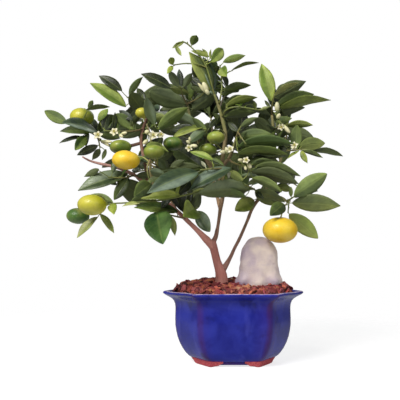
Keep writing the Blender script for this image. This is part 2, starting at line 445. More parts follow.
def lay_out():
    """Settles every piece's place, keeping the pieces clear of one another. Returns a dictionary."""
    rng = random.Random(SEED)
    notes = []
    wood = []
    for name, points in WOOD:
        path = smooth_path([at(u, v, d) for u, v, d, _ in points], [r * MM for _, _, _, r in points], 0.016)
        wood.append((name, path))
    wood_bodies = [Body("wood", *tube_surface(path)) for _, path in wood]
    obstacles = list(wood_bodies)
    wood_paths = [path for _, path in wood]

    sprays = {}
    for name, twigs, _, _ in SPRAYS:
        paths = []
        for number, points in enumerate(twigs):
            n = len(points)
            radii = [(TWIG_START + (TWIG_END - TWIG_START) * i / (n - 1)) * (1.0 if number == 0 else 0.85) for i in range(n)]
            path = smooth_path([at(*p) for p in points], radii, 0.011)
            if number:       # a side twig starts on the axis of this spray's other twigs
                near = min((q for other in paths for q, _ in along(other, 0.001)[1:]), key=lambda q: (q - path[0][0]).length)
                path = [(near.copy(), path[0][1])] + [(q, r) for q, r in path[1:] if (q - near).length > 0.004]
            else:
                path = trimmed(path, wood_paths)
            paths.append(path)
        sprays[name] = {"twigs": paths, "leaves": []}
        for path in paths:
            body = Body(name, *tube_surface(path, grow=0.0002))
            for other in obstacles:
                if other.owner != name and body.meets(other):
                    notes.append(f"twig of {name} meets {other.owner}")
            obstacles.append(body)

    def nearest_twig(p, names=None):
        best = None
        for name, spray in sprays.items():
            if names and name not in names:
                continue
            for path in spray["twigs"]:
                for q, r in along(path, 0.002):
                    d = (q - p).length
                    if best is None or d < best[0]:
                        best = (d, q, r, name)
        return best

    twig_paths = [path for spray in sprays.values() for path in spray["twigs"]]
    fruits = []
    for name, u, v, depth, width, height, tone, anchor in FRUITS:
        target = at(*anchor)
        best = None
        for shift in (0, 3, -3, 6, -6, 9, -9, 12, -12, 16, -16, 20, -20):
            centre = at(u, v, depth + shift)
            size = unit_at(centre)
            a, b = width * size / 2, height * size / 2
            pull = (target - centre)
            axis = (pull.normalized() + Vector((0, 0, 0.35))).normalized()
            # the fruit is wider than tall, so its axis stays near upright for its shape
            shape_axis = Vector((axis.x * 0.35, axis.y * 0.35, max(abs(axis.z), 0.6))).normalized()
            top = centre + shape_axis * b * 0.96 if target.z > centre.z - b * 0.3 else centre + Vector((axis.x, axis.y, axis.z)).normalized() * b * 0.9
            start = top
            mid = start.lerp(target, 0.45) + Vector((0, 0, 0.004))
            stalk = smooth_path([target, mid, start], [0.0009, 0.0009, 0.0012], 0.005)
            stalk = trimmed(stalk, wood_paths + twig_paths)
            fruit = Body(name, *ellipsoid(centre, shape_axis, a + 0.0004, b + 0.0004))
            stem = Body(name, *tube_surface(stalk, grow=0.0002))
            bad = [o.owner for o in obstacles if fruit.meets(o) or stem.meets(o)]
            if best is None or len(bad) < best[0]:
                best = (len(bad), dict(name=name, centre=centre, axis=shape_axis, across=a, along=b, stalk=stalk, tone=tone), fruit, stem, bad)
            if not bad:
                break
        if best[0]:
            notes.append(f"{name} meets {best[4]}")
        fruits.append(best[1])
        obstacles += [best[2], best[3]]

    blossoms = []
    for name, anchor, flowers, buds in BLOSSOMS:
        target = at(*anchor)
        heads = [at(*f[:3]) for f in flowers] + [at(*b[:3]) for b in buds]
        hub = sum(heads, Vector()) / len(heads)
        hub = hub + (target - hub) * 0.35
        stem = trimmed(smooth_path([target, target.lerp(hub, 0.5) + Vector((0, 0, 0.002)), hub], [0.0008, 0.0008, 0.0009], 0.006), wood_paths + twig_paths)
        item = dict(name=name, hub=hub, stem=stem, flowers=[], buds=[])
        for u, v, depth, width in flowers:
            centre = at(u, v, depth)
            size = unit_at(centre) * width / 2
            out = ((centre - hub).normalized() * 0.5 + (EYE - centre).normalized() * 0.5 + Vector((0, 0, 0.3))).normalized()
            item["flowers"].append(dict(centre=centre, radius=max(size, 0.006), out=out))
        for u, v, depth, tu, tv, width in buds:
            foot = at(u, v, depth)
            tip = at(tu, tv, depth - 3)
            item["buds"].append(dict(foot=foot, tip=tip, radius=unit_at(foot) * width / 2))
        shapes = [tube_surface(stem, 6, 0.0003)]
        for f in item["flowers"]:
            shapes.append(tube_surface([(hub, 0.0008), (f["centre"], 0.0008)], 6, 0.0003))
            shapes.append(ellipsoid(f["centre"], f["out"], f["radius"] + 0.0005, 0.003, 5, 10))
        for b in item["buds"]:
            axis = (b["tip"] - b["foot"]).normalized()
            shapes.append(tube_surface([(hub, 0.0008), (b["foot"], 0.0008)], 6, 0.0003))
            shapes.append(ellipsoid(b["foot"].lerp(b["tip"], 0.5), axis, b["radius"] + 0.0005, (b["tip"] - b["foot"]).length / 2 + 0.0005, 5, 8))
        for shape in shapes:
            body = Body(name, *shape)
            bad = {o.owner for o in obstacles if o.owner != name and body.meets(o)}
            if bad:
                notes.append(f"{name} meets {sorted(bad)}")
            obstacles.append(body)
        blossoms.append(item)

    placed, outer, drawn = list(obstacles), [], []

    def settle(leaf, spray):
        full, tip_part = leaf.bodies(0.00028)
        for other in placed:
            if other.owner != spray and full.meets(other):
                return None
        for owner, other in outer:
            if owner == spray and tip_part.meets(other):
                return None
        return full, tip_part

    def keep(leaf, name, bodies):
        full, tip_part = bodies
        placed.append(full)
        outer.append((name, tip_part))
        sprays[name]["leaves"].append(leaf)

    jobs = []
    for name, twigs, leaves, extra in SPRAYS:
        for entry in leaves:
            jobs.append((name, entry))
    fine = {name: [s for path in spray["twigs"] for s in along(path, 0.0008)[2:-2]] for name, spray in sprays.items()}
    for name, entry in jobs:
        bu, bv, tu, tv, w, tone = entry[:6]
        hint = entry[6] if len(entry) > 6 else 0
        taken = [leaf.root for leaf in sprays[name]["leaves"]]
        free = [s for s in fine[name] if all((s[0] - t).length > 0.0006 for t in taken)] or fine[name]

        def reach(s):
            """Nearness on the board, with a stalk that folds back under its blade counted as further."""
            ru, rv = seen(s[0])
            du, dv = bu - ru, bv - rv
            d = math.hypot(du, dv)
            fold = -(du * (tu - bu) + dv * (tv - bv)) / (max(d, 0.5) * max(math.hypot(tu - bu, tv - bv), 0.5))
            return d * (1 + 1.5 * max(0.0, fold))

        root = min(free, key=reach)[0]
        ru, rv = seen(root)
        if math.hypot(tu - ru, tv - rv) < 0.6 * math.hypot(bu - ru, bv - rv):
            bu, bv, tu, tv = tu, tv, bu, bv
        depth = root.y / MM
        stalk_u, stalk_v = bu - ru, bv - rv
        if math.hypot(stalk_u, stalk_v) > 0.2 and Vector((stalk_u, stalk_v)).angle(Vector((tu - bu, tv - bv))) > math.radians(118):
            share = 1.6 / max(1.6, math.hypot(tu - ru, tv - rv))
            bu, bv = ru + (tu - ru) * share, rv + (tv - rv) * share
        done = False
        for narrow in (1.0, 0.85, 0.7, 0.55):
            for slide in (0, -4, 4, -9, 9, -14, 14):
                foot = at(bu, bv, depth + slide)
                size = unit_at(foot)
                wide = w * size * narrow
                for offset in (0, -6, 6, -12, 12, -18, 18, -26, 26, -34, 34):
                    tip = at(tu, tv, depth + slide + hint + offset)
                    flat = (tip - foot).length
                    need = wide / 0.52
                    if need > flat:      # a broad blade seen end-on: push the tip nearer or further
                        push = math.sqrt(need * need - flat * flat) / MM * (-1 if hint <= 0 else 1)
                        tip = at(tu, tv, depth + slide + hint + offset + push)
                    length = (tip - foot).length
                    real = max(wide, min(0.40 * length, 0.024))
                    turn = math.acos(min(1.0, wide / real)) * 0.9
                    for roll in ((turn, -turn) if turn > 0.2 else (0.12, -0.3, 0.4)):
                        side, face = blade_axes(foot, tip, roll)
                        leaf = Leaf(name, root, foot, tip, real, side, face, tone)
                        bodies = settle(leaf, name)
                        if bodies:
                            done = True
                            break
                    if done:
                        break
                if done:
                    break
            if done:
                break
        if done:
            keep(leaf, name, bodies)
            drawn.append(bodies[0])
        else:
            notes.append(f"{name} leaf at ({bu}, {bv}) found no room")
    front = [o for o in placed if o.owner != "wood"]

    def hidden(p):
        ray = (p - EYE)
        far = ray.length
        ray.normalize()
        return any(b.tree.ray_cast(EYE, ray, far - 0.004)[0] is not None for b in front)

    for name, twigs, leaves, extra in SPRAYS:
        lines = fine[name]
        back = not leaves
        made = tries = 0
        while made < extra and tries < extra * 60:
            tries += 1
            root, _ = lines[min(len(lines) - 1, int(len(lines) * (0.12 + 0.88 * rng.random() ** 0.8)))]
            if any((root - leaf.root).length < 0.0006 for leaf in sprays[name]["leaves"]):
                continue
            heart = Vector((-0.046, 0.005, 0.245))
            outward = (root - heart).normalized()
            wild = Vector((rng.gauss(0, 1), rng.gauss(0, 1), rng.gauss(0, 0.7))).normalized()
            aim = (outward * (0.9 if back else 0.5) + wild * 0.9 + Vector((0, 0.0 if back else 0.45, 0.12))).normalized()
            length = rng.uniform(0.036, 0.060)
            foot = root + aim * rng.uniform(0.004, 0.007)
            bend = (aim + Vector((rng.gauss(0, 0.15), rng.gauss(0, 0.15), -0.12))).normalized()
            tip = foot + bend * length
            if tip.z < 0.165 or tip.z > 0.372 or tip.y < -0.105 or tip.y > 0.138:
                continue
            real = length * rng.uniform(0.42, 0.50)
            side, face = blade_axes(foot, tip, rng.gauss(0, 0.45), upright=True)
            tone = rng.choice("ddkdgdnGob")
            leaf = Leaf(name, root, foot, tip, real, side, face, tone)
            marks = [leaf.middle(s) + side * (k * real * 0.5 * share) for s, share in ((0.3, 0.9), (0.6, 0.95), (0.85, 0.5)) for k in (-1, 0, 1)] + [tip]
            if not all(in_crown(*seen(p)) for p in marks):
                continue
            open_marks = sum(not hidden(p) for p in marks)
            if open_marks > (5 if back else 3):
                continue
            bodies = settle(leaf, name)
            if bodies:
                keep(leaf, name, bodies)
                made += 1
        if made < extra:
            notes.append(f"{name}: {made} of {extra} extra leaves found room")

    # leaves of the shaded inside of the crown, set behind what is already there, where the crown would still be open
    def nearest_hit(u, v, bodies):
        ray = (at(u, v, 0.0) - EYE).normalized()
        hits = [b.tree.ray_cast(EYE, ray)[3] for b in bodies]
        return min((h for h in hits if h is not None), default=None)

    rng = random.Random(FILL_SEED)
    board = {(u, v): nearest_hit(u, v, placed) for v in range(56, 214, BOARD_STEP) for u in range(64, 320, BOARD_STEP) if in_crown(u, v)}
    roots = [(*seen(s[0]), tuple(s[0]), name) for name in fine for s in fine[name][::4]]
    for effort in range(3):
        for u, v in [h for h in board if board[h] is None]:
            if board[u, v] is not None or sum(len(s["leaves"]) for s in sprays.values()) >= MOST_LEAVES:
                continue
            near = sorted((math.hypot(u - ru, v - rv), ru, rv, root, name) for ru, rv, root, name in roots if 5 < math.hypot(u - ru, v - rv) < 46)
            rng.shuffle(near)
            best = None
            for d, ru, rv, root, name in near[:34]:
                root = Vector(root)
                if any((root - leaf.root).length < 0.0006 for leaf in sprays[name]["leaves"]):
                    continue
                reach_u, reach_v = (u - ru) / d, (v - rv) / d
                long = max(26, min(50, d * 1.45)) * rng.uniform(0.9, 1.1)
                sink = rng.uniform(2, 40)
                turn = rng.gauss(0, 0.12)
                au, av = reach_u * math.cos(turn) - reach_v * math.sin(turn), reach_u * math.sin(turn) + reach_v * math.cos(turn)
                foot = at(ru + au * 4.5, rv + av * 4.5, root.y / MM + sink * 0.12)
                tip = at(ru + au * long, rv + av * long, root.y / MM + sink)
                length = (tip - foot).length
                if tip.z < 0.165 or tip.z > 0.372 or tip.y < -0.105 or tip.y > 0.138 or length > 0.065:
                    continue
                real = length * rng.uniform(0.40, 0.50)
                side, face = blade_axes(foot, tip, rng.gauss(0, 0.40))
                leaf = Leaf(name, root, foot, tip, real, side, face, rng.choice("kkxnxkd"))
                marks = [leaf.middle(s) + side * (k * real * 0.5 * share) for s, share in ((0.3, 0.9), (0.6, 0.95), (0.85, 0.5)) for k in (-1, 0, 1)] + [tip]
                if sum(not in_crown(*seen(p)) for p in marks) > effort:
                    continue
                bodies = settle(leaf, name)
                if not bodies:
                    continue
                seen_marks = [seen(p) for p in marks]
                low_u, high_u = min(m[0] for m in seen_marks) - 5, max(m[0] for m in seen_marks) + 5
                low_v, high_v = min(m[1] for m in seen_marks) - 5, max(m[1] for m in seen_marks) + 5
                closed, covered = {}, 0
                for h, depth in board.items():
                    if low_u < h[0] < high_u and low_v < h[1] < high_v:
                        hit = nearest_hit(*h, [bodies[0]])
                        if hit is not None and depth is None:
                            closed[h] = hit
                        elif hit is not None and hit < depth:
                            covered += 1
                if len(closed) >= 3 - effort and covered <= 1 + effort // 2 and (best is None or len(closed) > len(best[0])):
                    best = (closed, leaf, name, bodies)
            if best:
                keep(best[1], best[2], best[3])
                board.update(best[0])
    holes = [h for h in board if board[h] is None]
    notes.append(f"{len(holes)} open places left")
    return dict(wood=wood, sprays=sprays, fruits=fruits, blossoms=blossoms, notes=notes)

# ================================================================ common helpers
plan = lay_out()
pot_low, pot_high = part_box("pot")
MOVE = Vector(((pot_low.x + pot_high.x) / 2, (pot_low.y + pot_high.y) / 2, 0.0))


def lin(r, g, b):
    """Screen colour, 0 to 255, as linear light."""
    return tuple(((c / 255 + 0.055) / 1.055) ** 2.4 if c > 10 else c / 255 / 12.92 for c in (r, g, b))


def blend_rgb(a, b, f):
    f = min(max(f, 0.0), 1.0)
    return tuple(x + (y - x) * f for x, y in zip(a, b))


def smoothstep(a, b, x):
    x = min(max((x - a) / (b - a), 0.0), 1.0)
    return x * x * (3 - 2 * x)


class Build:
    """Gathers vertices, faces and the colour and zone of each vertex for one piece."""

    def __init__(self):
        self.verts, self.faces, self.tint, self.zone, self.flat = [], [], [], [], set()

    def add(self, verts, faces, tint, zone, flat=False):
        """tint and zone are one value for all, or one per vertex."""
        start, first_face = len(self.verts), len(self.faces)
        self.verts += verts
        self.faces += [tuple(i + start for i in f) for f in faces]
        n = len(verts)
        self.tint += list(tint) if isinstance(tint, list) else [tint] * n
        self.zone += list(zone) if isinstance(zone, list) else [zone] * n
        if flat:
            self.flat |= set(range(first_face, len(self.faces)))

    def piece(self, name, material, node=None, sharp=None):
        mesh = bpy.data.meshes.new(name)
        mesh.from_pydata([v + MOVE for v in self.verts], [], self.faces)
        mesh.materials.append(material)
        tint = mesh.color_attributes.new("tint", "FLOAT_COLOR", "POINT")
        tint.data.foreach_set("color", np.array([(*c, 1.0) for c in self.tint], np.float32).ravel())
        zone = mesh.attributes.new("zone", "FLOAT_VECTOR", "POINT")
        zone.data.foreach_set("vector", np.array(self.zone, np.float32).ravel())
        smooth = [i not in self.flat for i in range(len(self.faces))]
        mesh.polygons.foreach_set("use_smooth", smooth)
        mesh.validate()
        mesh.update()
        if sharp:
            mesh.set_sharp_from_angle(angle=math.radians(sharp))
        obj = bpy.data.objects.new(name, mesh)
        bpy.context.scene.collection.objects.link(obj)
        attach(obj, "root")
        if node:
            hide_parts(node)
        return obj


def tube(path, sides=8, squash=None, cap=True):
    """Round tube along a path; returns vertices, faces and (share along, share round) for each vertex."""
    verts, faces, where = [], [], []
    n = len(path)
    lengths = [0.0]
    for (a, _), (b, _) in zip(path, path[1:]):
        lengths.append(lengths[-1] + (b - a).length)
    total = max(lengths[-1], 1e-9)
    ref = None
    for i, (p, r) in enumerate(path):
        t = (path[min(i + 1, n - 1)][0] - path[max(i - 1, 0)][0]).normalized()
        if ref is None:
            ref = t.orthogonal().normalized()
        ref = (ref - t * ref.dot(t)).normalized()
        other = t.cross(ref)
        for k in range(sides):
            a = 2 * math.pi * k / sides
            wobble = 1.0 if squash is None else squash(lengths[i], a)
            verts.append(p + (ref * math.cos(a) + other * math.sin(a)) * (r * wobble))
            where.append((lengths[i] / total, k / sides))
    for i in range(n - 1):
        for k in range(sides):
            a, b = i * sides + k, i * sides + (k + 1) % sides
            faces.append((a, b, b + sides, a + sides))
    if cap:
        start, end = path[0][0], path[-1]
        direction = (path[-1][0] - path[-2][0]).normalized()
        verts.append(start.copy())
        where.append((0.0, 0.0))
        verts.append(end[0] + direction * end[1] * 0.7)
        where.append((1.0, 0.0))
        for k in range(sides):
            faces.append((n * sides, (k + 1) % sides, k))
            faces.append((n * sides + 1, (n - 1) * sides + k, (n - 1) * sides + (k + 1) % sides))
    return verts, faces, where


def reached_back(path, by):
    """The path begun a little earlier, so that a twig grows out of the wood instead of stopping short of it."""
    first, second = path[0][0], path[1][0]
    return [(first - (second - first).normalized() * by, path[0][1] * 1.15)] + list(path)


# ================================================================ materials
class Shader:
    """A node material, built with short calls."""

    def __init__(self, name):
        self.material = bpy.data.materials.new(name)
        self.material.use_nodes = True
        self.tree = self.material.node_tree
        self.tree.nodes.clear()
        self.out = self.node("ShaderNodeOutputMaterial")
        self.bsdf = self.node("ShaderNodeBsdfPrincipled")
        self.link(self.bsdf.outputs[0], self.out.inputs[0])

    def node(self, kind, **values):
        made = self.tree.nodes.new(kind)
        for key, value in values.items():
            if hasattr(made, key):
                setattr(made, key, value)
            else:
                made.inputs[key.replace("_", " ")].default_value = value
        return made

    def link(self, a, b):
        self.tree.links.new(a, b)

    def feed(self, socket, value):
        if isinstance(value, bpy.types.NodeSocket):
            self.link(value, socket)
        else:
            socket.default_value = value

    def attribute(self, name, output="Color"):
        return self.node("ShaderNodeAttribute", attribute_name=name).outputs[output]

    def split(self, vector):
        sep = self.node("ShaderNodeSeparateXYZ")
        self.link(vector, sep.inputs[0])
        return sep.outputs

    def math(self, operation, a, b=0.0, c=0.0, clamp=False):
        made = self.node("ShaderNodeMath", operation=operation, use_clamp=clamp)
        for socket, value in zip(made.inputs, (a, b, c)):
            self.feed(socket, value)
        return made.outputs[0]

    def mix(self, factor, a, b, mode="MIX"):
        made = self.node("ShaderNodeMix", data_type="RGBA", blend_type=mode)
        self.feed(made.inputs[0], factor)
        for socket, value in ((made.inputs[6], a), (made.inputs[7], b)):
            self.feed(socket, value if isinstance(value, bpy.types.NodeSocket) else (*value, 1.0))
        return made.outputs[2]

    def noise(self, vector, scale, detail=3.0, roughness=0.55, distortion=0.0):
        made = self.node("ShaderNodeTexNoise")
        self.feed(made.inputs["Scale"], scale)
        made.inputs["Detail"].default_value = detail
        made.inputs["Roughness"].default_value = roughness
        made.inputs["Distortion"].default_value = distortion
        if vector is not None:
            self.link(vector, made.inputs["Vector"])
        return made.outputs["Fac"]

    def cells(self, vector, scale, feature="F1", output="Distance"):
        made = self.node("ShaderNodeTexVoronoi", feature=feature)
        made.inputs["Scale"].default_value = scale
        if vector is not None:
            self.link(vector, made.inputs["Vector"])
        return made.outputs[output]

    def stretch(self, vector, x, y, z):
        made = self.node("ShaderNodeMapping")
        self.link(vector, made.inputs["Vector"])
        made.inputs["Scale"].default_value = (x, y, z)
        return made.outputs[0]

    def ramp(self, value, low, high, to_low=0.0, to_high=1.0, smooth=True):
        made = self.node("ShaderNodeMapRange", interpolation_type="SMOOTHSTEP" if smooth else "LINEAR")
        self.feed(made.inputs["Value"], value)
        for key, v in (("From Min", low), ("From Max", high), ("To Min", to_low), ("To Max", to_high)):
            made.inputs[key].default_value = v
        return made.outputs["Result"]

    def bump(self, height, distance, strength=1.0, normal=None):
        made = self.node("ShaderNodeBump")
        self.link(height, made.inputs["Height"])
        made.inputs["Distance"].default_value = distance
        made.inputs["Strength"].default_value = strength
        if normal is not None:
            self.link(normal, made.inputs["Normal"])
        return made.outputs[0]

    @property
    def place(self):
        return self.node("ShaderNodeTexCoord").outputs["Object"]

    def finish(self, **sockets):
        for key, value in sockets.items():
            socket = self.bsdf.inputs[key.replace("_", " ")]
            if isinstance(value, tuple) and len(value) == 3 and socket.type == "RGBA":
                value = (*value, 1.0)
            self.feed(socket, value)
        return self.material


def leaf_material():
    m = Shader("leaf_waxy")
    tint = m.attribute("tint")
    s, t, kind = m.split(m.attribute("zone", "Vector"))
    place = m.place
    blade = m.ramp(kind, 0.4, 0.6)
    under = m.ramp(kind, 1.4, 1.6)
    across = m.math("ABSOLUTE", t)
    rib = m.math("MULTIPLY", m.ramp(across, 0.035, 0.11, 1.0, 0.0), blade)
    lateral = m.math("SINE", m.math("MULTIPLY", m.math("SUBTRACT", m.math("MULTIPLY", s, 10.0), m.math("MULTIPLY", across, 2.3)), 6.2832))
    vein = m.math("MULTIPLY", m.ramp(lateral, 0.80, 1.0), blade)
    blotch = m.noise(place, 95.0, 3.0)
    fine = m.noise(place, 900.0, 2.0)
    colour = m.mix(m.ramp(blotch, 0.30, 0.72), m.mix(0.38, tint, (0.003, 0.009, 0.003)), m.mix(0.06, tint, lin(176, 184, 84)))
    colour = m.mix(m.math("MULTIPLY", fine, 0.22), colour, (0.003, 0.007, 0.002))
    colour = m.mix(m.math("MULTIPLY", vein, 0.045), colour, lin(150, 164, 96))
    colour = m.mix(m.math("MULTIPLY", rib, 0.20), colour, lin(150, 162, 92))
    paler = m.mix(0.22, colour, lin(138, 152, 96))
    colour = m.mix(under, colour, paler)
    edge = m.ramp(across, 0.90, 1.0, 0.0, 0.12)
    colour = m.mix(m.math("MULTIPLY", edge, blade), colour, lin(150, 156, 88))
    rough = m.ramp(m.noise(place, 160.0, 2.0), 0.3, 0.7, 0.30, 0.46)
    rough = m.math("ADD", rough, m.math("MULTIPLY", under, 0.22))
    height = m.math("ADD", m.math("MULTIPLY", rib, -0.9), m.math("ADD", m.math("MULTIPLY", vein, -0.35), m.math("MULTIPLY", fine, 0.08)))
    return m.finish(Base_Color=colour, Roughness=rough, Normal=m.bump(height, 0.0004, 0.50), Specular_IOR_Level=0.34)


def peel_material():
    m = Shader("citrus_peel")
    tint = m.attribute("tint")
    kind = m.split(m.attribute("zone", "Vector"))[2]
    place = m.place
    peel = m.ramp(kind, 0.4, 0.6)
    pores = m.cells(place, 620.0)
    pits = m.math("MULTIPLY", m.ramp(pores, 0.0, 0.42, 1.0, 0.0), peel)
    cloud = m.noise(place, 70.0, 3.0)
    colour = m.mix(m.ramp(cloud, 0.35, 0.70, 0.0, 0.40), tint, m.mix(0.5, tint, lin(250, 226, 120)))
    colour = m.mix(m.math("MULTIPLY", pits, 0.22), colour, m.mix(0.55, tint, (0.10, 0.06, 0.0)))
    speck = m.ramp(m.noise(place, 1300.0, 1.0), 0.68, 0.74, 0.0, 0.25)
    colour = m.mix(m.math("MULTIPLY", speck, peel), colour, (0.05, 0.07, 0.01))
    rough = m.ramp(m.noise(place, 240.0, 2.0), 0.3, 0.7, 0.30, 0.44)
    height = m.math("ADD", m.math("MULTIPLY", pits, -1.0), m.math("MULTIPLY", cloud, 0.4))
    return m.finish(Base_Color=colour, Roughness=rough, Normal=m.bump(height, 0.0005, 0.5), Specular_IOR_Level=0.45)


def petal_material():
    m = Shader("petal_soft")
    tint = m.attribute("tint")
    s, t, kind = m.split(m.attribute("zone", "Vector"))
    place = m.place
    streak = m.noise(m.stretch(place, 600, 600, 600), 1.0, 2.0)
    colour = m.mix(m.ramp(streak, 0.35, 0.75, 0.0, 0.30), tint, m.mix(0.6, tint, lin(206, 208, 160)))
    return m.finish(Base_Color=colour, Roughness=m.ramp(m.noise(place, 300.0), 0.3, 0.7, 0.42, 0.60), Normal=m.bump(streak, 0.0003, 0.35))


def bark_material():
    m = Shader("bark_young")
    tint = m.attribute("tint")
    along, around, age = m.split(m.attribute("zone", "Vector"))
    place = m.place
    grain = m.noise(m.stretch(place, 900, 900, 120), 1.0, 4.0, 0.6, 0.4)
    patch = m.noise(place, 70.0, 3.0)
    colour = m.mix(m.ramp(patch, 0.35, 0.68, 0.0, 0.45), tint, m.mix(0.45, tint, lin(212, 164, 148)))
    colour = m.mix(m.ramp(grain, 0.50, 0.72, 0.0, 0.38), colour, m.mix(0.7, tint, (0.045, 0.018, 0.015)))
    dots = m.ramp(m.cells(m.stretch(place, 260, 260, 150), 1.0), 0.06, 0.16, 1.0, 0.0)
    colour = m.mix(m.math("MULTIPLY", dots, 0.40), colour, lin(206, 180, 150))
    height = m.math("ADD", m.math("MULTIPLY", grain, -0.8), m.math("ADD", m.math("MULTIPLY", dots, 0.5), m.math("MULTIPLY", patch, 0.6)))
    return m.finish(Base_Color=colour, Roughness=m.ramp(grain, 0.3, 0.7, 0.55, 0.78), Normal=m.bump(height, 0.0009, 0.7), Specular_IOR_Level=0.35)


def chip_material():
    m = Shader("bark_chip")
    tint = m.attribute("tint")
    place = m.place
    fibre = m.noise(m.stretch(place, 1500, 500, 900), 1.0, 3.0)
    grit = m.noise(place, 420.0, 4.0, 0.65)
    colour = m.mix(m.ramp(fibre, 0.40, 0.70, 0.0, 0.38), tint, m.mix(0.75, tint, (0.018, 0.006, 0.004)))
    colour = m.mix(m.ramp(grit, 0.58, 0.75, 0.0, 0.45), colour, m.mix(0.5, tint, lin(222, 160, 120)))
    height = m.math("ADD", fibre, grit)
    return m.finish(Base_Color=colour, Roughness=m.ramp(grit, 0.3, 0.7, 0.72, 0.95), Normal=m.bump(height, 0.0010, 0.8), Specular_IOR_Level=0.25)


def stone_material():
    m = Shader("stone_pale")
    tint = m.attribute("tint")
    place = m.place
    cloud = m.noise(place, 42.0, 5.0, 0.6, 0.6)
    grain = m.noise(place, 520.0, 4.0, 0.7)
    bands = m.noise(m.stretch(place, 30, 30, 95), 1.0, 3.0)
    colour = m.mix(m.ramp(cloud, 0.40, 0.66, 0.0, 0.45), tint, m.mix(0.65, tint, lin(240, 226, 210)))
    colour = m.mix(m.ramp(bands, 0.52, 0.72, 0.0, 0.40), colour, m.mix(0.6, tint, lin(160, 142, 176)))
    colour = m.mix(m.ramp(grain, 0.55, 0.75, 0.0, 0.16), colour, m.mix(0.6, tint, lin(110, 96, 110)))
    height = m.math("ADD", m.math("MULTIPLY", cloud, 1.2), m.math("MULTIPLY", grain, 0.5))
    return m.finish(Base_Color=colour, Roughness=m.ramp(grain, 0.3, 0.7, 0.62, 0.85), Normal=m.bump(height, 0.0016, 0.7), Specular_IOR_Level=0.35)


def glaze_material():
    m = Shader("cobalt_glaze_fired")
    tint = m.attribute("tint")
    corner, edge, clay = m.split(m.attribute("zone", "Vector"))
    place = m.place
    cloud = m.noise(place, 34.0, 4.0, 0.55, 0.5)
    runs = m.noise(m.stretch(place, 75, 75, 22), 1.0, 3.0, 0.5, 0.3)
    fine = m.noise(place, 600.0, 3.0)
    blue = m.mix(m.ramp(cloud, 0.35, 0.68), lin(24, 30, 122), lin(40, 48, 148))
    blue = m.mix(m.ramp(runs, 0.56, 0.76, 0.0, 0.30), blue, lin(72, 76, 172))
    blue = m.mix(m.ramp(m.noise(place, 58.0, 2.0), 0.60, 0.74, 0.0, 0.55), blue, lin(18, 18, 78))
    blue = m.mix(m.ramp(fine, 0.60, 0.75, 0.0, 0.20), blue, lin(22, 24, 90))
    worn = m.math("MULTIPLY", corner, m.ramp(m.noise(m.stretch(place, 60, 60, 26), 1.0, 3.0), 0.22, 0.60, 0.45, 1.0))
    blue = m.mix(m.math("MULTIPLY", worn, 0.80), blue, lin(72, 34, 84))
    bead = m.math("MULTIPLY", edge, m.ramp(m.noise(place, 120.0, 3.0), 0.34, 0.56, 0.25, 1.0))
    blue = m.mix(bead, blue, lin(198, 180, 208))
    grit = m.noise(place, 760.0, 4.0, 0.7)
    red = m.mix(m.ramp(grit, 0.35, 0.70), lin(150, 58, 70), lin(204, 100, 98))
    red = m.mix(m.ramp(m.noise(place, 60.0), 0.45, 0.70, 0.0, 0.4), red, lin(136, 50, 64))
    colour = m.mix(clay, blue, red)
    rough = m.mix(clay, m.mix(m.ramp(cloud, 0.3, 0.7), (0.10,) * 3, (0.20,) * 3), (0.86,) * 3)
    coat = None
    height = m.math("ADD", m.math("MULTIPLY", m.math("MULTIPLY", grit, clay), 1.0), m.math("MULTIPLY", m.noise(place, 48.0, 2.0), 1.6))
    return m.finish(Base_Color=colour, Roughness=m.split(rough)[0], Normal=m.bump(height, 0.0006, 0.45), Specular_IOR_Level=0.20)


def soil_material():
    m = Shader("soil_dark")
    place = m.place
    crumbs = m.cells(place, 260.0)
    grit = m.noise(place, 420.0, 5.0, 0.7)
    colour = m.mix(m.ramp(grit, 0.35, 0.70), lin(34, 24, 20), lin(86, 62, 46))
    colour = m.mix(m.ramp(crumbs, 0.35, 0.8, 0.0, 0.6), colour, lin(22, 16, 13))
    return m.finish(Base_Color=colour, Roughness=m.ramp(grit, 0.3, 0.7, 0.85, 0.98), Normal=m.bump(m.math("SUBTRACT", grit, crumbs), 0.002, 0.9))


def screen_material():
    m = Shader("screen_black")
    place = m.place
    grain = m.noise(place, 500.0, 3.0)
    colour = m.mix(grain, lin(28, 28, 29), lin(58, 58, 60))
    return m.finish(Base_Color=colour, Roughness=m.ramp(grain, 0.3, 0.7, 0.45, 0.62), Normal=m.bump(grain, 0.0003, 0.4))


LEAF, PEEL, PETAL, BARK = leaf_material(), peel_material(), petal_material(), bark_material()
CHIP, STONE, GLAZE, SOIL, SCREEN = chip_material(), stone_material(), glaze_material(), soil_material(), screen_material()


def dress(node, material):
    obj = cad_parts[node]
    obj.data.materials.clear()
    obj.data.materials.append(material)


for node, material in (("soil", SOIL), ("drain_screen", SCREEN)):
    dress(node, material)

# ================================================================ leaves and twigs
# Two colours for each kind of leaf, one for each half of the folded blade, and how bright a sheen lies along the second half
TONES = {
    "k": ((24, 34, 20), (46, 58, 34), 0.00), "x": ((24, 24, 19), (38, 40, 28), 0.00), "n": ((28, 38, 32), (62, 74, 68), 0.15), "d": ((34, 52, 26), (104, 124, 54), 0.05),
    "g": ((46, 74, 30), (132, 154, 62), 0.10), "G": ((34, 72, 36), (88, 128, 56), 0.10), "m": ((38, 58, 26), (158, 168, 74), 0.10),
    "o": ((110, 124, 48), (166, 176, 84), 0.05), "y": ((138, 156, 52), (176, 188, 82), 0.05), "l": ((110, 136, 50), (172, 188, 88), 0.10),
    "b": ((40, 60, 42), (98, 120, 98), 0.48), "s": ((56, 74, 44), (122, 138, 98), 0.38), "h": ((56, 76, 44), (120, 138, 98), 0.50),
    "p": ((172, 182, 100), (204, 208, 142), 0.05), "c": ((186, 184, 104), (212, 208, 142), 0.0), "w": ((222, 222, 186), (238, 236, 212), 0.0)}
SHEEN = lin(166, 180, 164)
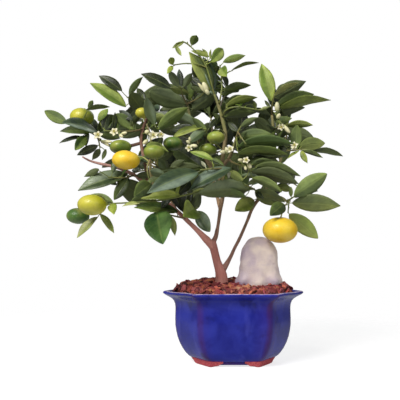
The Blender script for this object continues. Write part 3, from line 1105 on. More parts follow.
ROWS = (0.0, 0.03, 0.09, 0.18, 0.29, 0.41, 0.53, 0.65, 0.76, 0.85, 0.92, 0.97, 1.0)
COLUMNS = (-1.0, -0.66, -0.28, 0.0, 0.28, 0.66, 1.0)
THICKNESS = 0.00034


def leaf_outline(s, broad):
    """Share of the full width at a station along the blade; a broad blade has a rounded end, a narrow one a drawn-out tip."""
    s = min(max(s, 0.0), 1.0)
    rounded = max(math.sin(math.pi * s ** 1.08), 0.0) ** 0.60
    drawn = max(math.sin(math.pi * s ** 0.86), 0.0) ** 0.80 * (1 - 0.45 * max(0.0, (s - 0.76) / 0.24) ** 1.5)
    return max(drawn + (rounded - drawn) * broad, 0.040)


def add_leaf(build, leaf, chance):
    half = leaf.width * 0.5
    axis = (leaf.tip - leaf.foot).normalized()
    phase, curl = chance.uniform(0, 6.28), chance.uniform(-0.03, 0.05)
    ripple = chance.uniform(0.02, 0.06)
    twist = chance.uniform(-0.22, 0.22)
    bright = chance.uniform(0.86, 1.18) * (0.88 if leaf.tone in "kxnd" else 1.06)
    broad = smoothstep(0.34, 0.52, leaf.width / leaf.length) * smoothstep(0.016, 0.034, leaf.length)
    if leaf.length < 0.030:
        half *= 0.86
    lit_side = 1 if chance.random() < 0.5 else -1
    first, second, sheen = TONES[leaf.tone]
    first, second = lin(*first), lin(*second)
    top, bottom, tint, zone = [], [], [], []
    for s in ROWS:
        centre = leaf.middle(s) - Vector((0, 0, 1)) * curl * leaf.length * s * s * 0.6
        w = half * leaf_outline(s, broad)
        turn = Matrix.Rotation(twist * (s - 0.4), 3, axis)
        side, face = turn @ leaf.side, turn @ leaf.face
        for t in COLUMNS:
            lift = abs(t) * w * 0.30 - abs(t) ** 3 * w * 0.10 + ripple * w * math.sin(11 * s + phase + (1.3 if t > 0 else 0)) * abs(t)
            p = centre + side * (t * w) + face * lift
            ridge = THICKNESS * (1 - 0.75 * abs(t) ** 2) * 0.5
            top.append(p + face * ridge)
            bottom.append(p - face * (ridge + (0.00030 * (1 - s) if t == 0 else 0)))
            grain = noise.noise(Vector((s * 3.1, t * 1.7, phase)))
            side_share = smoothstep(-0.12, 0.12, t * lit_side)
            warm = 0.20 * smoothstep(0.55, 0.98, s) + 0.16 * smoothstep(0.6, 1.0, abs(t))
            colour = blend_rgb(first, second, side_share * 0.78 + 0.34 * grain + warm)
            if sheen:
                band = side_share * smoothstep(0.10, 0.40, s) * (1 - smoothstep(0.72, 0.96, s)) * (1 - abs(abs(t) - 0.5) * 1.1)
                colour = blend_rgb(colour, SHEEN, sheen * max(band, 0.0))
            tint.append(tuple(c * bright for c in colour))
            zone.append((s, t))
    nc, nr = len(COLUMNS), len(ROWS)
    verts = top + bottom
    faces = []
    for i in range(nr - 1):
        for k in range(nc - 1):
            a, b, c, d = i * nc + k, i * nc + k + 1, (i + 1) * nc + k + 1, (i + 1) * nc + k
            faces.append((a, b, c, d))
            o = nr * nc
            faces.append((d + o, c + o, b + o, a + o))
        for k, flip in ((0, False), (nc - 1, True)):
            a, d = i * nc + k, (i + 1) * nc + k
            o = nr * nc
            faces.append((a, d, d + o, a + o) if not flip else (d, a, a + o, d + o))
    for k in range(nc - 1):
        a, b, o, e = k, k + 1, nr * nc, (nr - 1) * nc
        faces += [(b, a, a + o, b + o), (a + e, b + e, b + e + o, a + e + o)]
    # the side direction times the axis points along the face, so the upper faces already look out
    if leaf.side.cross(axis).dot(leaf.face) < 0:
        faces = [tuple(reversed(f)) for f in faces]
    build.add(verts, faces, tint + [blend_rgb(c, lin(150, 162, 108), 0.12) for c in tint], [(s, t, 1.0) for s, t in zone] + [(s, t, 2.0) for s, t in zone])
    # leaf stalk
    stalk = leaf.foot - leaf.root
    if stalk.length > 0.0008:
        bow = Vector((0, 0, -0.08 * stalk.length))
        path = smooth_path([leaf.root, leaf.root.lerp(leaf.foot, 0.5) + bow, leaf.foot + axis * 0.002], [0.00062, 0.00052, 0.00050], 0.003)
        v, f, where = tube(path, 5)
        green = blend_rgb(blend_rgb(first, second, 0.7), lin(150, 158, 84), 0.45)
        build.add(v, f, green, [(a, b, 0.0) for a, b in where])


def add_twig(build, path, number, chance, youth):
    fine = smooth_path([p for p, _ in path], [r for _, r in path], 0.0035)
    fine = [(p, r * 0.92) for p, r in fine]
    fine = reached_back(fine, 0.0022 if number == 0 else 0.0005)
    v, f, where = tube(fine, 7, squash=lambda d, a: 1 + 0.05 * math.sin(3 * a + d * 300))
    old, young = lin(150, 118, 92), lin(128, 138, 72)
    tint = [blend_rgb(old, young, min(1.0, youth + a * 0.8)) for a, b in where]
    build.add(v, f, tint, [(a, b, 0.0) for a, b in where])
    # a small scale bud at the tip and a few along the twig
    for share in (0.35, 0.62, 0.98):
        i = min(len(fine) - 2, int(share * (len(fine) - 1)))
        p, r = fine[i]
        t = (fine[i + 1][0] - p).normalized()
        out = (t * 0.8 + Vector((chance.uniform(-1, 1), chance.uniform(-1, 1), chance.uniform(-0.3, 1))).normalized() * 0.7).normalized()
        if share > 0.9:
            out = t
        v, f = ellipsoid(p + out * (r + 0.0003), out, 0.00075, 0.0016, 5, 6)
        build.add(v, [tuple(face) for face in f], young, [(0.5, 0.5, 0.0)] * len(v))


chance = random.Random(91)
for number, (name, spray) in enumerate(plan["sprays"].items(), 1):
    build = Build()
    youth = 0.7 if name in ("leaf_spray_01", "leaf_spray_02", "leaf_spray_03", "leaf_spray_17", "leaf_spray_10") else 0.15
    for i, path in enumerate(spray["twigs"]):
        add_twig(build, path, i, chance, youth)
    for leaf in spray["leaves"]:
        add_leaf(build, leaf, chance)
    build.piece(f"foliage_{number:02d}", LEAF, node=name)

# ================================================================ fruits
RIND = {"ripe": (lin(232, 186, 8), lin(244, 210, 58), lin(200, 146, 6)), "turning": (lin(172, 172, 30), lin(196, 190, 62), lin(92, 124, 30)),
        "lime": (lin(104, 132, 40), lin(136, 156, 66), lin(58, 92, 26)), "green": (lin(58, 94, 34), lin(88, 122, 54), lin(36, 66, 22))}
# how much the visible fruit is narrower or flatter than a plain ellipsoid in its place
PLUMP = {"calamondin_04": (1.0, 0.90), "calamondin_07": (1.0, 0.88), "calamondin_08": (1.0, 0.86), "calamondin_09": (1.0, 0.90), "calamondin_10": (0.78, 0.80), "calamondin_02": (1.0, 0.96)}
STALK_GREEN, CALYX_GREEN = lin(118, 128, 62), lin(104, 118, 56)


def add_calyx(build, centre, up, size, colour):
    """The little five-pointed cup that a fruit or a flower sits in."""
    ref = up.orthogonal().normalized()
    other = up.cross(ref)
    verts, faces = [centre + up * size * 0.30, centre - up * size * 0.10], []
    for k in range(10):
        a = 2 * math.pi * k / 10
        r = size * (1.0 if k % 2 == 0 else 0.55)
        verts.append(centre + (ref * math.cos(a) + other * math.sin(a)) * r - up * size * (0.30 if k % 2 == 0 else 0.02))
    for k in range(10):
        faces.append((0, 2 + k, 2 + (k + 1) % 10))
        faces.append((1, 2 + (k + 1) % 10, 2 + k))
    build.add(verts, faces, colour, (0.5, 0.5, 0.0))


for fruit in plan["fruits"]:
    build = Build()
    main, light, deep = RIND[fruit["tone"]]
    hang, a, b, centre = fruit["axis"], fruit["across"], fruit["along"], fruit["centre"]
    # the flattened way is upright, whichever way the stalk comes in
    axis = (hang * 0.18 + Vector((0, 0, 1))).normalized()
    a, b = a * PLUMP.get(fruit["name"], (1, 1))[0], b * PLUMP.get(fruit["name"], (1, 1))[1]
    ref = axis.orthogonal().normalized()
    other = axis.cross(ref)
    rings, sides = 22, 36
    verts, tint, zone, faces = [], [], [], []
    seed = Vector((centre.x * 90, centre.y * 90, centre.z * 90))
    for i in range(rings + 1):
        polar = math.pi * i / rings
        for k in range(sides):
            turn = 2 * math.pi * k / sides
            d = axis * math.cos(polar) * b + (ref * math.cos(turn) + other * math.sin(turn)) * math.sin(polar) * a
            from_stalk = d.angle(hang)
            dimple = 1 - 0.10 * math.exp(-(from_stalk / 0.26) ** 2) - 0.05 * math.exp(-((math.pi - from_stalk) / 0.20) ** 2)
            lump = 1 + 0.012 * noise.noise(d * 60 + seed) + 0.006 * math.cos(9 * turn) * math.sin(polar) ** 2 * (1 if polar < 1.2 else 0.3)
            verts.append(centre + d * dimple * lump)
            mottle = noise.noise(d * 75 + seed * 1.3)
            c = blend_rgb(main, light, 0.45 + 0.9 * mottle)
            c = blend_rgb(c, deep, 0.75 * math.exp(-(from_stalk / 0.55) ** 2) + 0.25 * smoothstep(1.9, 2.9, from_stalk))
            if fruit["name"] == "calamondin_06":
                c = blend_rgb(c, RIND["lime"][2], 0.70 * smoothstep(-0.35, 0.8, d.x / a))
            tint.append(c)
            zone.append((i / rings, k / sides, 1.0))
    for i in range(rings):
        for k in range(sides):
            p, q = i * sides + k, i * sides + (k + 1) % sides
            faces.append((p, p + sides, q + sides, q))
    build.add(verts, faces, tint, zone)
    stalk = fruit["stalk"]
    lean = hang.dot(axis)
    top = centre + hang * 0.90 / math.sqrt((lean / b) ** 2 + (1 - lean * lean) / a ** 2)
    path = [p for p, _ in stalk]
    if (path[-1] - top).length > 0.002:
        path.append(top)
    fine = smooth_path(path, [0.0008] * (len(path) - 1) + [0.0011], 0.002)
    fine = reached_back(fine, 0.0016)
    v, f, where = tube(fine, 7)
    build.add(v, f, STALK_GREEN, [(s, t, 0.0) for s, t in where])
    add_calyx(build, top + hang * 0.0004, hang, 0.0030 if a > 0.012 else 0.0024, CALYX_GREEN)
    build.piece(fruit["name"].replace("calamondin", "fruit"), PEEL, node=fruit["name"])

# ================================================================ blossoms
WHITE, CREAM, HEART, BUD = lin(228, 222, 192), lin(204, 200, 150), lin(196, 182, 96), lin(218, 212, 168)


def add_petal(build, centre, aim, out, length, width):
    side = aim.cross(out).normalized()
    verts, faces, tint = [], [], []
    rows, cols = 6, 3
    for i in range(rows + 1):
        s = i / rows
        w = width * 0.5 * (math.sin(math.pi * (0.10 + 0.90 * s) ** 0.8)) ** 0.8 if s < 1 else 0.0
        p = centre + aim * length * s + out * (length * (0.30 * s - 0.42 * s * s))
        for k in range(cols + 1):
            t = 2 * k / cols - 1
            verts.append(p + side * t * w + out * (abs(t) * w * 0.35))
            tint.append(blend_rgb(CREAM, WHITE, 0.2 + s))
    n = len(verts)
    verts += [v - out * 0.0004 for v in verts]
    for i in range(rows):
        for k in range(cols):
            a, b, c, d = i * (cols + 1) + k, i * (cols + 1) + k + 1, (i + 1) * (cols + 1) + k + 1, (i + 1) * (cols + 1) + k
            faces += [(a, b, c, d), (d + n, c + n, b + n, a + n)]
    build.add(verts, faces, tint * 2, (0.5, 0.5, 1.0))


def add_bud(build, foot, tip, radius):
    axis = (tip - foot).normalized()
    long = (tip - foot).length / 2
    v, f = ellipsoid(foot.lerp(tip, 0.5), axis, radius, long, 10, 12)
    tint = []
    for p in v:
        s = (p - foot).dot(axis) / (2 * long)
        tint.append(blend_rgb(lin(190, 196, 130), BUD, smoothstep(0.0, 0.45, s)))
    build.add(v, [tuple(x) for x in f], tint, (0.5, 0.5, 1.0))
    add_calyx(build, foot + axis * long * 0.12, -axis, radius * 0.85, CALYX_GREEN)


for item in plan["blossoms"]:
    build = Build()
    hub = item["hub"]
    stem = reached_back(smooth_path([p for p, _ in item["stem"]], [r * 0.8 for _, r in item["stem"]], 0.003), 0.0012)
    v, f, where = tube(stem, 6)
    build.add(v, f, STALK_GREEN, (0.5, 0.5, 0.0))
    for flower in item["flowers"]:
        centre, out, radius = flower["centre"], flower["out"], flower["radius"]
        v, f, where = tube([(hub, 0.0006), (hub.lerp(centre, 0.5) - out * 0.0005, 0.0006), (centre - out * 0.0006, 0.0009)], 6)
        build.add(v, f, STALK_GREEN, (0.5, 0.5, 0.0))
        add_calyx(build, centre - out * 0.0010, -out, 0.0022, CALYX_GREEN)
        ref = out.orthogonal().normalized()
        turn = chance.uniform(0, 1)
        for k in range(5):
            a = 2 * math.pi * (k + turn) / 5
            aim = (ref * math.cos(a) + out.cross(ref) * math.sin(a) + out * (0.30 + 0.35 * ((k * 0.62 + turn) % 1))).normalized()
            add_petal(build, centre - out * 0.0004 + aim * 0.0006, aim, out, radius * (0.84 - 0.10 * ((k + turn) % 2)), radius * 0.56)
        for k in range(10):
            a = 2 * math.pi * k / 10
            lean = (ref * math.cos(a) + out.cross(ref) * math.sin(a)) * 0.35 + out
            tip = centre + lean.normalized() * radius * 0.46
            v, f, where = tube([(centre, 0.00022), (tip, 0.00018)], 4)
            build.add(v, f, WHITE, (0.5, 0.5, 1.0))
            v, f = ellipsoid(tip, lean.normalized(), 0.00042, 0.00075, 4, 5)
            build.add(v, [tuple(x) for x in f], HEART, (0.5, 0.5, 1.0))
        v, f = ellipsoid(centre + out * radius * 0.22, out, 0.0006, radius * 0.30, 5, 6)
        build.add(v, [tuple(x) for x in f], lin(190, 200, 96), (0.5, 0.5, 1.0))
    for bud in item["buds"]:
        v, f, where = tube([(hub, 0.0006), (hub.lerp(bud["foot"], 0.55) - Vector((0, 0, 0.0004)), 0.00055), (bud["foot"].lerp(bud["tip"], 0.08), 0.0007)], 6)
        build.add(v, f, STALK_GREEN, (0.5, 0.5, 0.0))
        add_bud(build, bud["foot"], bud["tip"], bud["radius"] * 0.82)
    build.piece(item["name"].replace("blossom", "flowers"), PETAL, node=item["name"])

# ================================================================ wood
build = Build()
BROWN, ROSE, TAN, SHOOT, DARK = lin(184, 118, 108), lin(204, 138, 124), lin(176, 140, 110), lin(132, 142, 78), lin(92, 64, 50)
LIMB_TINT = {  # colour at the limb's start and at its end
    "stem": (BROWN, BROWN), "left": (ROSE, lin(190, 134, 120)), "left_low": (lin(176, 130, 116), lin(196, 150, 140)), "left_up": (lin(150, 112, 88), DARK),
    "left_far": (DARK, lin(104, 84, 62)), "middle": (lin(146, 104, 90), SHOOT), "middle_left": (lin(140, 110, 84), lin(132, 138, 80)),
    "middle_right": (lin(140, 112, 86), lin(130, 138, 80)), "right": (lin(150, 106, 96), lin(140, 138, 84)), "right_low": (lin(160, 130, 100), lin(136, 140, 84)),
    "back_middle": (TAN, SHOOT), "back_left": (TAN, SHOOT), "back_right": (TAN, SHOOT), "front_middle": (TAN, SHOOT), "front_left": (TAN, SHOOT)}
for name, points in WOOD:
    raw = [at(u, v, d) for u, v, d, _ in points]
    radii = [r * MM for _, _, _, r in points]
    path = smooth_path(raw, radii, 0.0040)
    total = sum((b[0] - a[0]).length for a, b in zip(path, path[1:]))
    run, done = [], 0.0
    for i, (p, r) in enumerate(path):
        if i:
            done += (p - path[i - 1][0]).length
        if name == "stem":
            r = r * (1 + 0.14 * math.exp(-max(p.z - 0.090, 0.0) / 0.0045)) if p.z > 0.080 else r * 1.05
        else:
            r = r * (1 + 0.10 * math.exp(-((done - 0.010) / 0.007) ** 2))
        knot = 0.07 * math.exp(-((done % 0.031 - 0.015) / 0.0022) ** 2) if name != "stem" else 0.0
        run.append((p, r * (1 + knot)))
    sides = 18 if name == "stem" else 12
    wob = Vector((raw[0].x * 40, raw[0].y * 40, 3.0))
    v, f, where = tube(run, sides, squash=lambda d, a: 1 + 0.07 * noise.noise(Vector((math.cos(a) * 1.2, math.sin(a) * 1.2, d * 70)) + wob) + (0.10 * math.cos(5 * a) * math.exp(-max(d - 0.030, 0.0) / 0.008) if name == "stem" else 0))
    first, last = LIMB_TINT[name]
    tint = [blend_rgb(blend_rgb(first, last, a), DARK, 0.35 * max(0.0, noise.noise(p * 60))) for (a, b), p in zip(where, v)]
    build.add(v, f, tint, [(a, b, 1.0) for a, b in where])
build.piece("wood", BARK, node="trunk")

# ================================================================ pot
CX, CY = 0.571, 0.690  # the front and back corners, as shares of the half width; the other two corners are on the X axis
CORNERS = [Vector((1.0, 0.0)), Vector((CX, CY)), Vector((-CX, CY)), Vector((-1.0, 0.0)), Vector((-CX, -CY)), Vector((CX, -CY))]
# (half width, height, how far the corner is rounded off, zone): up the hollow, over the rim, down to the foot
HOLE = 0.0065
WORN = (0.8, 0.8, 0.8, 0.7, 0.62, 1.0)  # how far the glaze has broken to brown at each corner
WALL = [(0.0200, 0.0109, 0.004), (0.0360, 0.0108, 0.004), (0.0420, 0.0130, 0.004), (0.0520, 0.0215, 0.005), (0.0600, 0.0300, 0.005), (0.0635, 0.0450, 0.005),
        (0.0645, 0.0660, 0.005), (0.0660, 0.0705, 0.004), (0.0740, 0.0765, 0.003), (0.0778, 0.0795, 0.0025),
        (0.0786, 0.0824, 0.002), (0.0794, 0.0832, 0.002), (0.0808, 0.0834, 0.002), (0.0826, 0.0832, 0.002), (0.0837, 0.0824, 0.002), (0.0840, 0.0811, 0.002),
        (0.0836, 0.0805, 0.002), (0.0820, 0.0793, 0.0022), (0.0794, 0.0779, 0.0025), (0.0765, 0.0764, 0.003), (0.0738, 0.0746, 0.004), (0.0717, 0.0722, 0.005),
        (0.0704, 0.0686, 0.006), (0.0698, 0.0640, 0.006), (0.0699, 0.0580, 0.006), (0.0701, 0.0510, 0.006), (0.0700, 0.0440, 0.006), (0.0690, 0.0370, 0.006),
        (0.0674, 0.0300, 0.006), (0.0648, 0.0230, 0.006), (0.0612, 0.0166, 0.0055), (0.0577, 0.0118, 0.005), (0.0545, 0.0085, 0.005), (0.0520, 0.0068, 0.005),
        (0.0490, 0.0056, 0.004), (0.0440, 0.0050, 0.004), (0.0250, 0.0050, 0.004)]


def hexagon(half, cut, per_edge=9, per_corner=5):
    """Points round the six-sided outline with its corners rounded off; also how close each is to a corner, 0 to 1."""
    out = []
    for i, corner in enumerate(CORNERS):
        before, after = CORNERS[i - 1], CORNERS[(i + 1) % 6]
        c = corner * half
        to_before, to_after = (before - corner).normalized() * cut, (after - corner).normalized() * cut
        for k in range(per_corner):
            t = k / (per_corner - 1)
            out.append(((c + to_before) * (1 - t) ** 2 + c * 2 * t * (1 - t) + (c + to_after) * t * t, WORN[i] * (1 - 0.75 * (2 * t - 1) ** 2)))
        start, end = c + to_after, after * half - (after - corner).normalized() * cut
        for k in range(1, per_edge):
            t = k / per_edge
            p = start.lerp(end, t)
            near = min((p - c).length, (p - after * half).length)
            spread = 0.0060 if (i, t < 0.5) in ((4, False), (5, True)) else 0.0035
            side = WORN[i] if (p - c).length < (p - after * half).length else WORN[(i + 1) % 6]
            out.append((p, 0.42 * side * math.exp(-((near - cut) / spread) ** 2)))
    return out


def pot_zone(p, half, near):
    """(corner, rim edge, bare clay) shares for the glaze."""
    on_rim = 1.0 if 0.0800 < half < 0.0830 and p.z > 0.0822 else 0.0
    clay = 1 - smoothstep(0.0038, 0.0052, p.z + 0.0008 * noise.noise(p * 90))
    return (near, on_rim, clay)


build = Build()
rings, zones = [], []
count = None


def ring_of(half, z, cut):
    pts = hexagon(half, min(cut, half * 0.2))
    ring, zone = [], []
    for p, near in pts:
        angle = math.atan2(p.y, p.x)
        wave = 1.0
        lift = 0.0
        if z > 0.078 and half > 0.0735:
            # the thrown rim is a little uneven, most of all along the slanting sides
            slant = 1.0 if abs(p.y) < CY * half - 1e-6 else 0.35
            wave += 0.006 * slant * math.sin(9 * angle + 0.6)
            lift = 0.0004 * slant * math.sin(7 * angle)
        q = Vector((p.x * wave, p.y * wave, z + lift))
        ring.append(q)
        zone.append(pot_zone(q, half, near))
    return ring, zone


for half, z, cut in WALL:
    ring, zone = ring_of(half, z, cut)
    rings.append(ring)
    zones.append(zone)
count = len(rings[0])
hole_angles = [math.atan2(p.y, p.x) for p in rings[0]]
inner = [Vector((math.cos(a) * HOLE, math.sin(a) * HOLE, 0.0110)) for a in hole_angles]
lower = [Vector((math.cos(a) * HOLE, math.sin(a) * HOLE, 0.0050)) for a in hole_angles]
rings = [inner] + rings + [lower]
zones = [[(0.0, 0.0, 0.6)] * count] + zones + [[(0.0, 0.0, 1.0)] * count]
verts = [p for ring in rings for p in ring]
zone = [z for ring in zones for z in ring]
faces = []
for i in range(len(rings)):
    j = (i + 1) % len(rings)
    for k in range(count):
        m = (k + 1) % count
        faces.append((i * count + k, j * count + k, j * count + m, i * count + m))
build.add(verts, [tuple(reversed(f)) for f in faces], (0.05, 0.05, 0.3), zone)

# four bracket feet, each bent round one corner
FOOT_OUT, FOOT_IN = (0.0516, 0.0502), (0.0364, 0.0370)   # half widths at the top and at the bottom


def foot_route(sx, sy):
    """Points of the outline of half width 1 from the front or back gap round the corner to the side gap."""
    corner, side = Vector((sx * CX, sy * CY)), Vector((sx * 1.0, 0.0))
    gap = 0.0130 if sx < 0 else 0.0115
    return corner, side, gap


for sx in (-1, 1):
    for sy in (-1, 1):
        corner, side, gap = foot_route(sx, sy)
        stations = 30
        verts, zone, tints = [], [], []
        for i in range(stations + 1):
            share = i / stations
            section = []
            for level, (top_half, low_half) in (("out", FOOT_OUT), ("in", FOOT_IN)):
                for z_share, half in ((1.0, top_half), (0.0, low_half)):
                    front_start = Vector((sx * gap, sy * CY * half))
                    front_end = corner * half
                    side_end = corner * half + (side - corner) * half * min(1.0, ((CY * half - 0.0036) / (CY * half)))
                    first, second = (front_end - front_start).length, (side_end - front_end).length
                    d = share * (first + second)
                    # the corner is eased a little
                    ease = 0.0030
                    if abs(d - first) < ease:
                        t = (d - first + ease) / (2 * ease)
                        a = front_end + (front_start - front_end).normalized() * ease
                        b = front_end + (side_end - front_end).normalized() * ease
                        p = a * (1 - t) ** 2 + front_end * 2 * t * (1 - t) + b * t * t
                    elif d < first:
                        p = front_start.lerp(front_end, d / first)
                    else:
                        p = front_end.lerp(side_end, (d - first) / second)
                    total = first + second
                    end_gap = min(d, total - d)
                    scallop = 0.0042 * (1 - smoothstep(0.0, 0.0075, end_gap)) + 0.0011 * math.exp(-((d - first * 0.52) / 0.0042) ** 2)
                    z = 0.0068 if z_share else scallop
                    section.append(Vector((p.x, p.y, z)))
            verts += [section[0], section[1].lerp(section[0], 0.12), section[1].lerp(section[3], 0.10), section[3].lerp(section[1], 0.10), section[3].lerp(section[2], 0.12), section[2]]
        n = 6
        faces = [(i * n + k, i * n + (k + 1) % n, (i + 1) * n + (k + 1) % n, (i + 1) * n + k) for i in range(stations) for k in range(n)]
        faces += [tuple(range(n)), tuple(reversed(range(stations * n, stations * n + n)))]
        volume = sum(verts[f[0]].dot(verts[f[k]].cross(verts[f[k + 1]])) for f in faces for k in range(1, len(f) - 1))
        if volume < 0:
            faces = [tuple(reversed(f)) for f in faces]
        low_clay = [(0.0, 0.0, 1.0)] * len(verts)
        build.add(verts, faces, (0.05, 0.05, 0.3), low_clay)
# the ring between the feet, which stops a little above the ground
ring_rows = [(0.0476, 0.0066), (0.0472, 0.0030), (0.0466, 0.0023), (0.0384, 0.0023), (0.0376, 0.0030), (0.0370, 0.0066)]
verts, zone, faces = [], [], []
for half, z in ring_rows:
    for p, near in hexagon(half, 0.004):
        verts.append(Vector((p.x, p.y, z)))
        zone.append((0.75, 0.0, 0.0))
around = len(verts) // len(ring_rows)
for i in range(len(ring_rows)):
    j = (i + 1) % len(ring_rows)
    for k in range(around):
        n = (k + 1) % around
        faces.append((i * around + k, i * around + n, j * around + n, j * around + k))
volume = sum(verts[f[0]].dot(verts[f[k]].cross(verts[f[k + 1]])) for f in faces for k in range(1, len(f) - 1))
if volume < 0:
    faces = [tuple(reversed(f)) for f in faces]
build.add(verts, faces, (0.05, 0.05, 0.3), zone)
build.piece("pot_glazed", GLAZE, node="pot", sharp=42)

# ================================================================ stone
foot = at(259, 285, 0)
FOOT_Z, TOP_Z = 0.0800, 0.1476
LOBES = [(242, 279, 0.0085, 0.0075, 0.0040), (276, 281, 0.0080, 0.0070, 0.0030), (258, 284, 0.0060, 0.0060, 0.0012)]
shape = bmesh.new()
bmesh.ops.create_icosphere(shape, subdivisions=5, radius=1.0)
build = Build()
verts, tint = [], []
for v in shape.verts:
    n = v.co.normalized()
    h = (n.z + 1) / 2
    flat = math.hypot(n.x, n.y)
    blunt = 2.6 if n.z > 0 else 3.2
    swell = (1 - abs(n.z) ** blunt) ** (1 / blunt) / flat if flat > 1e-6 else 0.0
    flare = math.exp(-((h - 0.16) / 0.16) ** 2)
    half_w = 0.0234 + 0.0085 * flare + 0.0008 * math.sin(5 * n.x + 9 * h)
    half_d = 0.0142 + 0.0018 * flare + 0.0008 * math.sin(7 * h + 4 * n.x)
    lobe = 0.0016 * math.cos(3.2 * n.x * math.pi) * flare * (1 if n.y < 0 else 0.3)
    p = Vector((foot.x + n.x * swell * half_w - 0.0006 * math.sin(6 * h), foot.y + n.y * swell * (half_d + lobe), FOOT_Z + (TOP_Z - FOOT_Z) * h - 0.002 * h * abs(n.x)))
    # two rounded lobes low down in front
    for lu, lv, reach_x, reach_z, out in LOBES:
        c = at(lu, lv, -10)
        k = math.exp(-((p.x - c.x) / reach_x) ** 2 - ((p.z - c.z) / reach_z) ** 2)
        p.y -= out * k * max(0.0, -n.y)
    rough = 0.0016 * noise.fractal(p * 55, 1.0, 2.1, 4) + 0.0007 * abs(noise.noise(p * 150)) - 0.0004
    p += Vector((n.x, n.y * 0.7, n.z * 0.4)) * rough
    verts.append(p)
    shade = noise.fractal(p * 70 + Vector((4, 1, 7)), 1.0, 2.0, 3)
    left = smoothstep(0.008, 0.024, foot.x - p.x) * 0.7
    c = blend_rgb(lin(230, 214, 204), lin(206, 188, 188), 0.5 + shade)
    low_left = math.exp(-((p.x - foot.x + 0.020) / 0.012) ** 2 - ((h - 0.12) / 0.16) ** 2)
    low_right = math.exp(-((p.x - foot.x - 0.018) / 0.008) ** 2 - ((h - 0.20) / 0.10) ** 2)
    c = blend_rgb(c, lin(152, 136, 184), min(0.85, 0.35 * left + 0.70 * low_left + 0.45 * low_right + 0.25 * max(shade, 0)))
    tint.append(c)
build.add(verts, [tuple(v.index for v in f.verts) for f in shape.faces], tint, [(0.0, 0.0, 1.0)] * len(verts))
shape.free()
build.piece("feature_stone", STONE, node="stone")

# ================================================================ bark chips
MOUND = [(0.0, 0.0968), (0.016, 0.0967), (0.030, 0.0964), (0.042, 0.0960), (0.052, 0.0955), (0.060, 0.0947), (0.0655, 0.0932), (0.0695, 0.0905),
         (0.0713, 0.0868), (0.0716, 0.0825), (0.0702, 0.0780), (0.0646, 0.0712), (0.0, 0.0710)]


def plan_reach(angle):
    """Distance from the middle to the pot's six-sided outline of half width 1, along an angle."""
    c, s = abs(math.cos(angle)), abs(math.sin(angle))
    front = CY / s if s > 1e-9 else 1e9
    return min(front, CY / (CY * c + (1 - CX) * s))


def soft_reach(angle):
    """The same, with the corners eased."""
    return sum(plan_reach(angle + d) * w for d, w in ((-0.16, 0.12), (-0.08, 0.22), (0, 0.32), (0.08, 0.22), (0.16, 0.12)))


def lowered(p):
    """The dressing lies lower towards the front of the pot and rises a little towards its sides."""
    level = 0.0920 + (0.0050 if p.y > 0 else 0.0062) * p.y / 0.050 + 0.0025 * (p.x / 0.070) ** 2
    near_stone = math.exp(-((p.x - foot.x) / 0.030) ** 2 - ((p.y + 0.014) / 0.012) ** 2)
    return 0.0800 + (p.z - 0.0800) * (level - 0.0012 * near_stone - 0.0800) / 0.0168


build = Build()
chance = random.Random(23)
sides = 96
verts, faces = [], []
for i, (r, z) in enumerate(MOUND[1:-1]):
    for k in range(sides):
        a = 2 * math.pi * k / sides
        reach = soft_reach(a) * 0.985
        p = Vector((math.cos(a) * r * reach, math.sin(a) * r * reach, z))
        if z > 0.080:
            p.z = lowered(p)
            p.z += 0.0007 * noise.noise(p * 120) - 0.0003
            p.xy *= 1 + 0.008 * noise.noise(p * 160)
        verts.append(p)
loops = len(MOUND) - 2
verts += [Vector((0, 0, lowered(Vector((0, 0, MOUND[0][1]))))), Vector((0, 0, MOUND[-1][1]))]
for i in range(loops - 1):
    for k in range(sides):
        m = (k + 1) % sides
        faces.append((i * sides + k, (i + 1) * sides + k, (i + 1) * sides + m, i * sides + m))
top, bottom = loops * sides, loops * sides + 1
for k in range(sides):
    m = (k + 1) % sides
    faces.append((top, k, m))
    faces.append((bottom, (loops - 1) * sides + m, (loops - 1) * sides + k))
build.add(verts, faces, lin(78, 34, 32), (0.0, 0.0, 1.0))

CHIP_TINTS = [lin(168, 82, 76), lin(184, 98, 82), lin(148, 70, 70), lin(128, 60, 60), lin(200, 114, 90), lin(104, 50, 52), lin(214, 138, 102), lin(172, 92, 94), lin(78, 38, 42), lin(224, 166, 132)]
WEIGHTS = [9, 8, 8, 7, 5, 5, 2.5, 4, 3, 1.2]


def mound_point(share, angle):
    """A point of the mound's face and its outward direction; share runs from the middle, 0, down to the rim, 1."""
    steps = MOUND[:-2]
    lengths = [0.0]
    for (r0, z0), (r1, z1) in zip(steps, steps[1:]):
        lengths.append(lengths[-1] + math.hypot(r1 - r0, z1 - z0))
    d = share * lengths[-1]
    for i in range(len(steps) - 1):
        if d <= lengths[i + 1]:
            break
    t = (d - lengths[i]) / (lengths[i + 1] - lengths[i])
    r = steps[i][0] + (steps[i + 1][0] - steps[i][0]) * t
    z = steps[i][1] + (steps[i + 1][1] - steps[i][1]) * t
    dr, dz = steps[i + 1][0] - steps[i][0], steps[i + 1][1] - steps[i][1]
    out = Vector((-dz * math.cos(angle), -dz * math.sin(angle), dr)).normalized()
    reach = soft_reach(angle) * 0.985
    p = Vector((math.cos(angle) * r * reach, math.sin(angle) * r * reach, z))
    if z > 0.080:
        p.z = lowered(p)
    return p, out


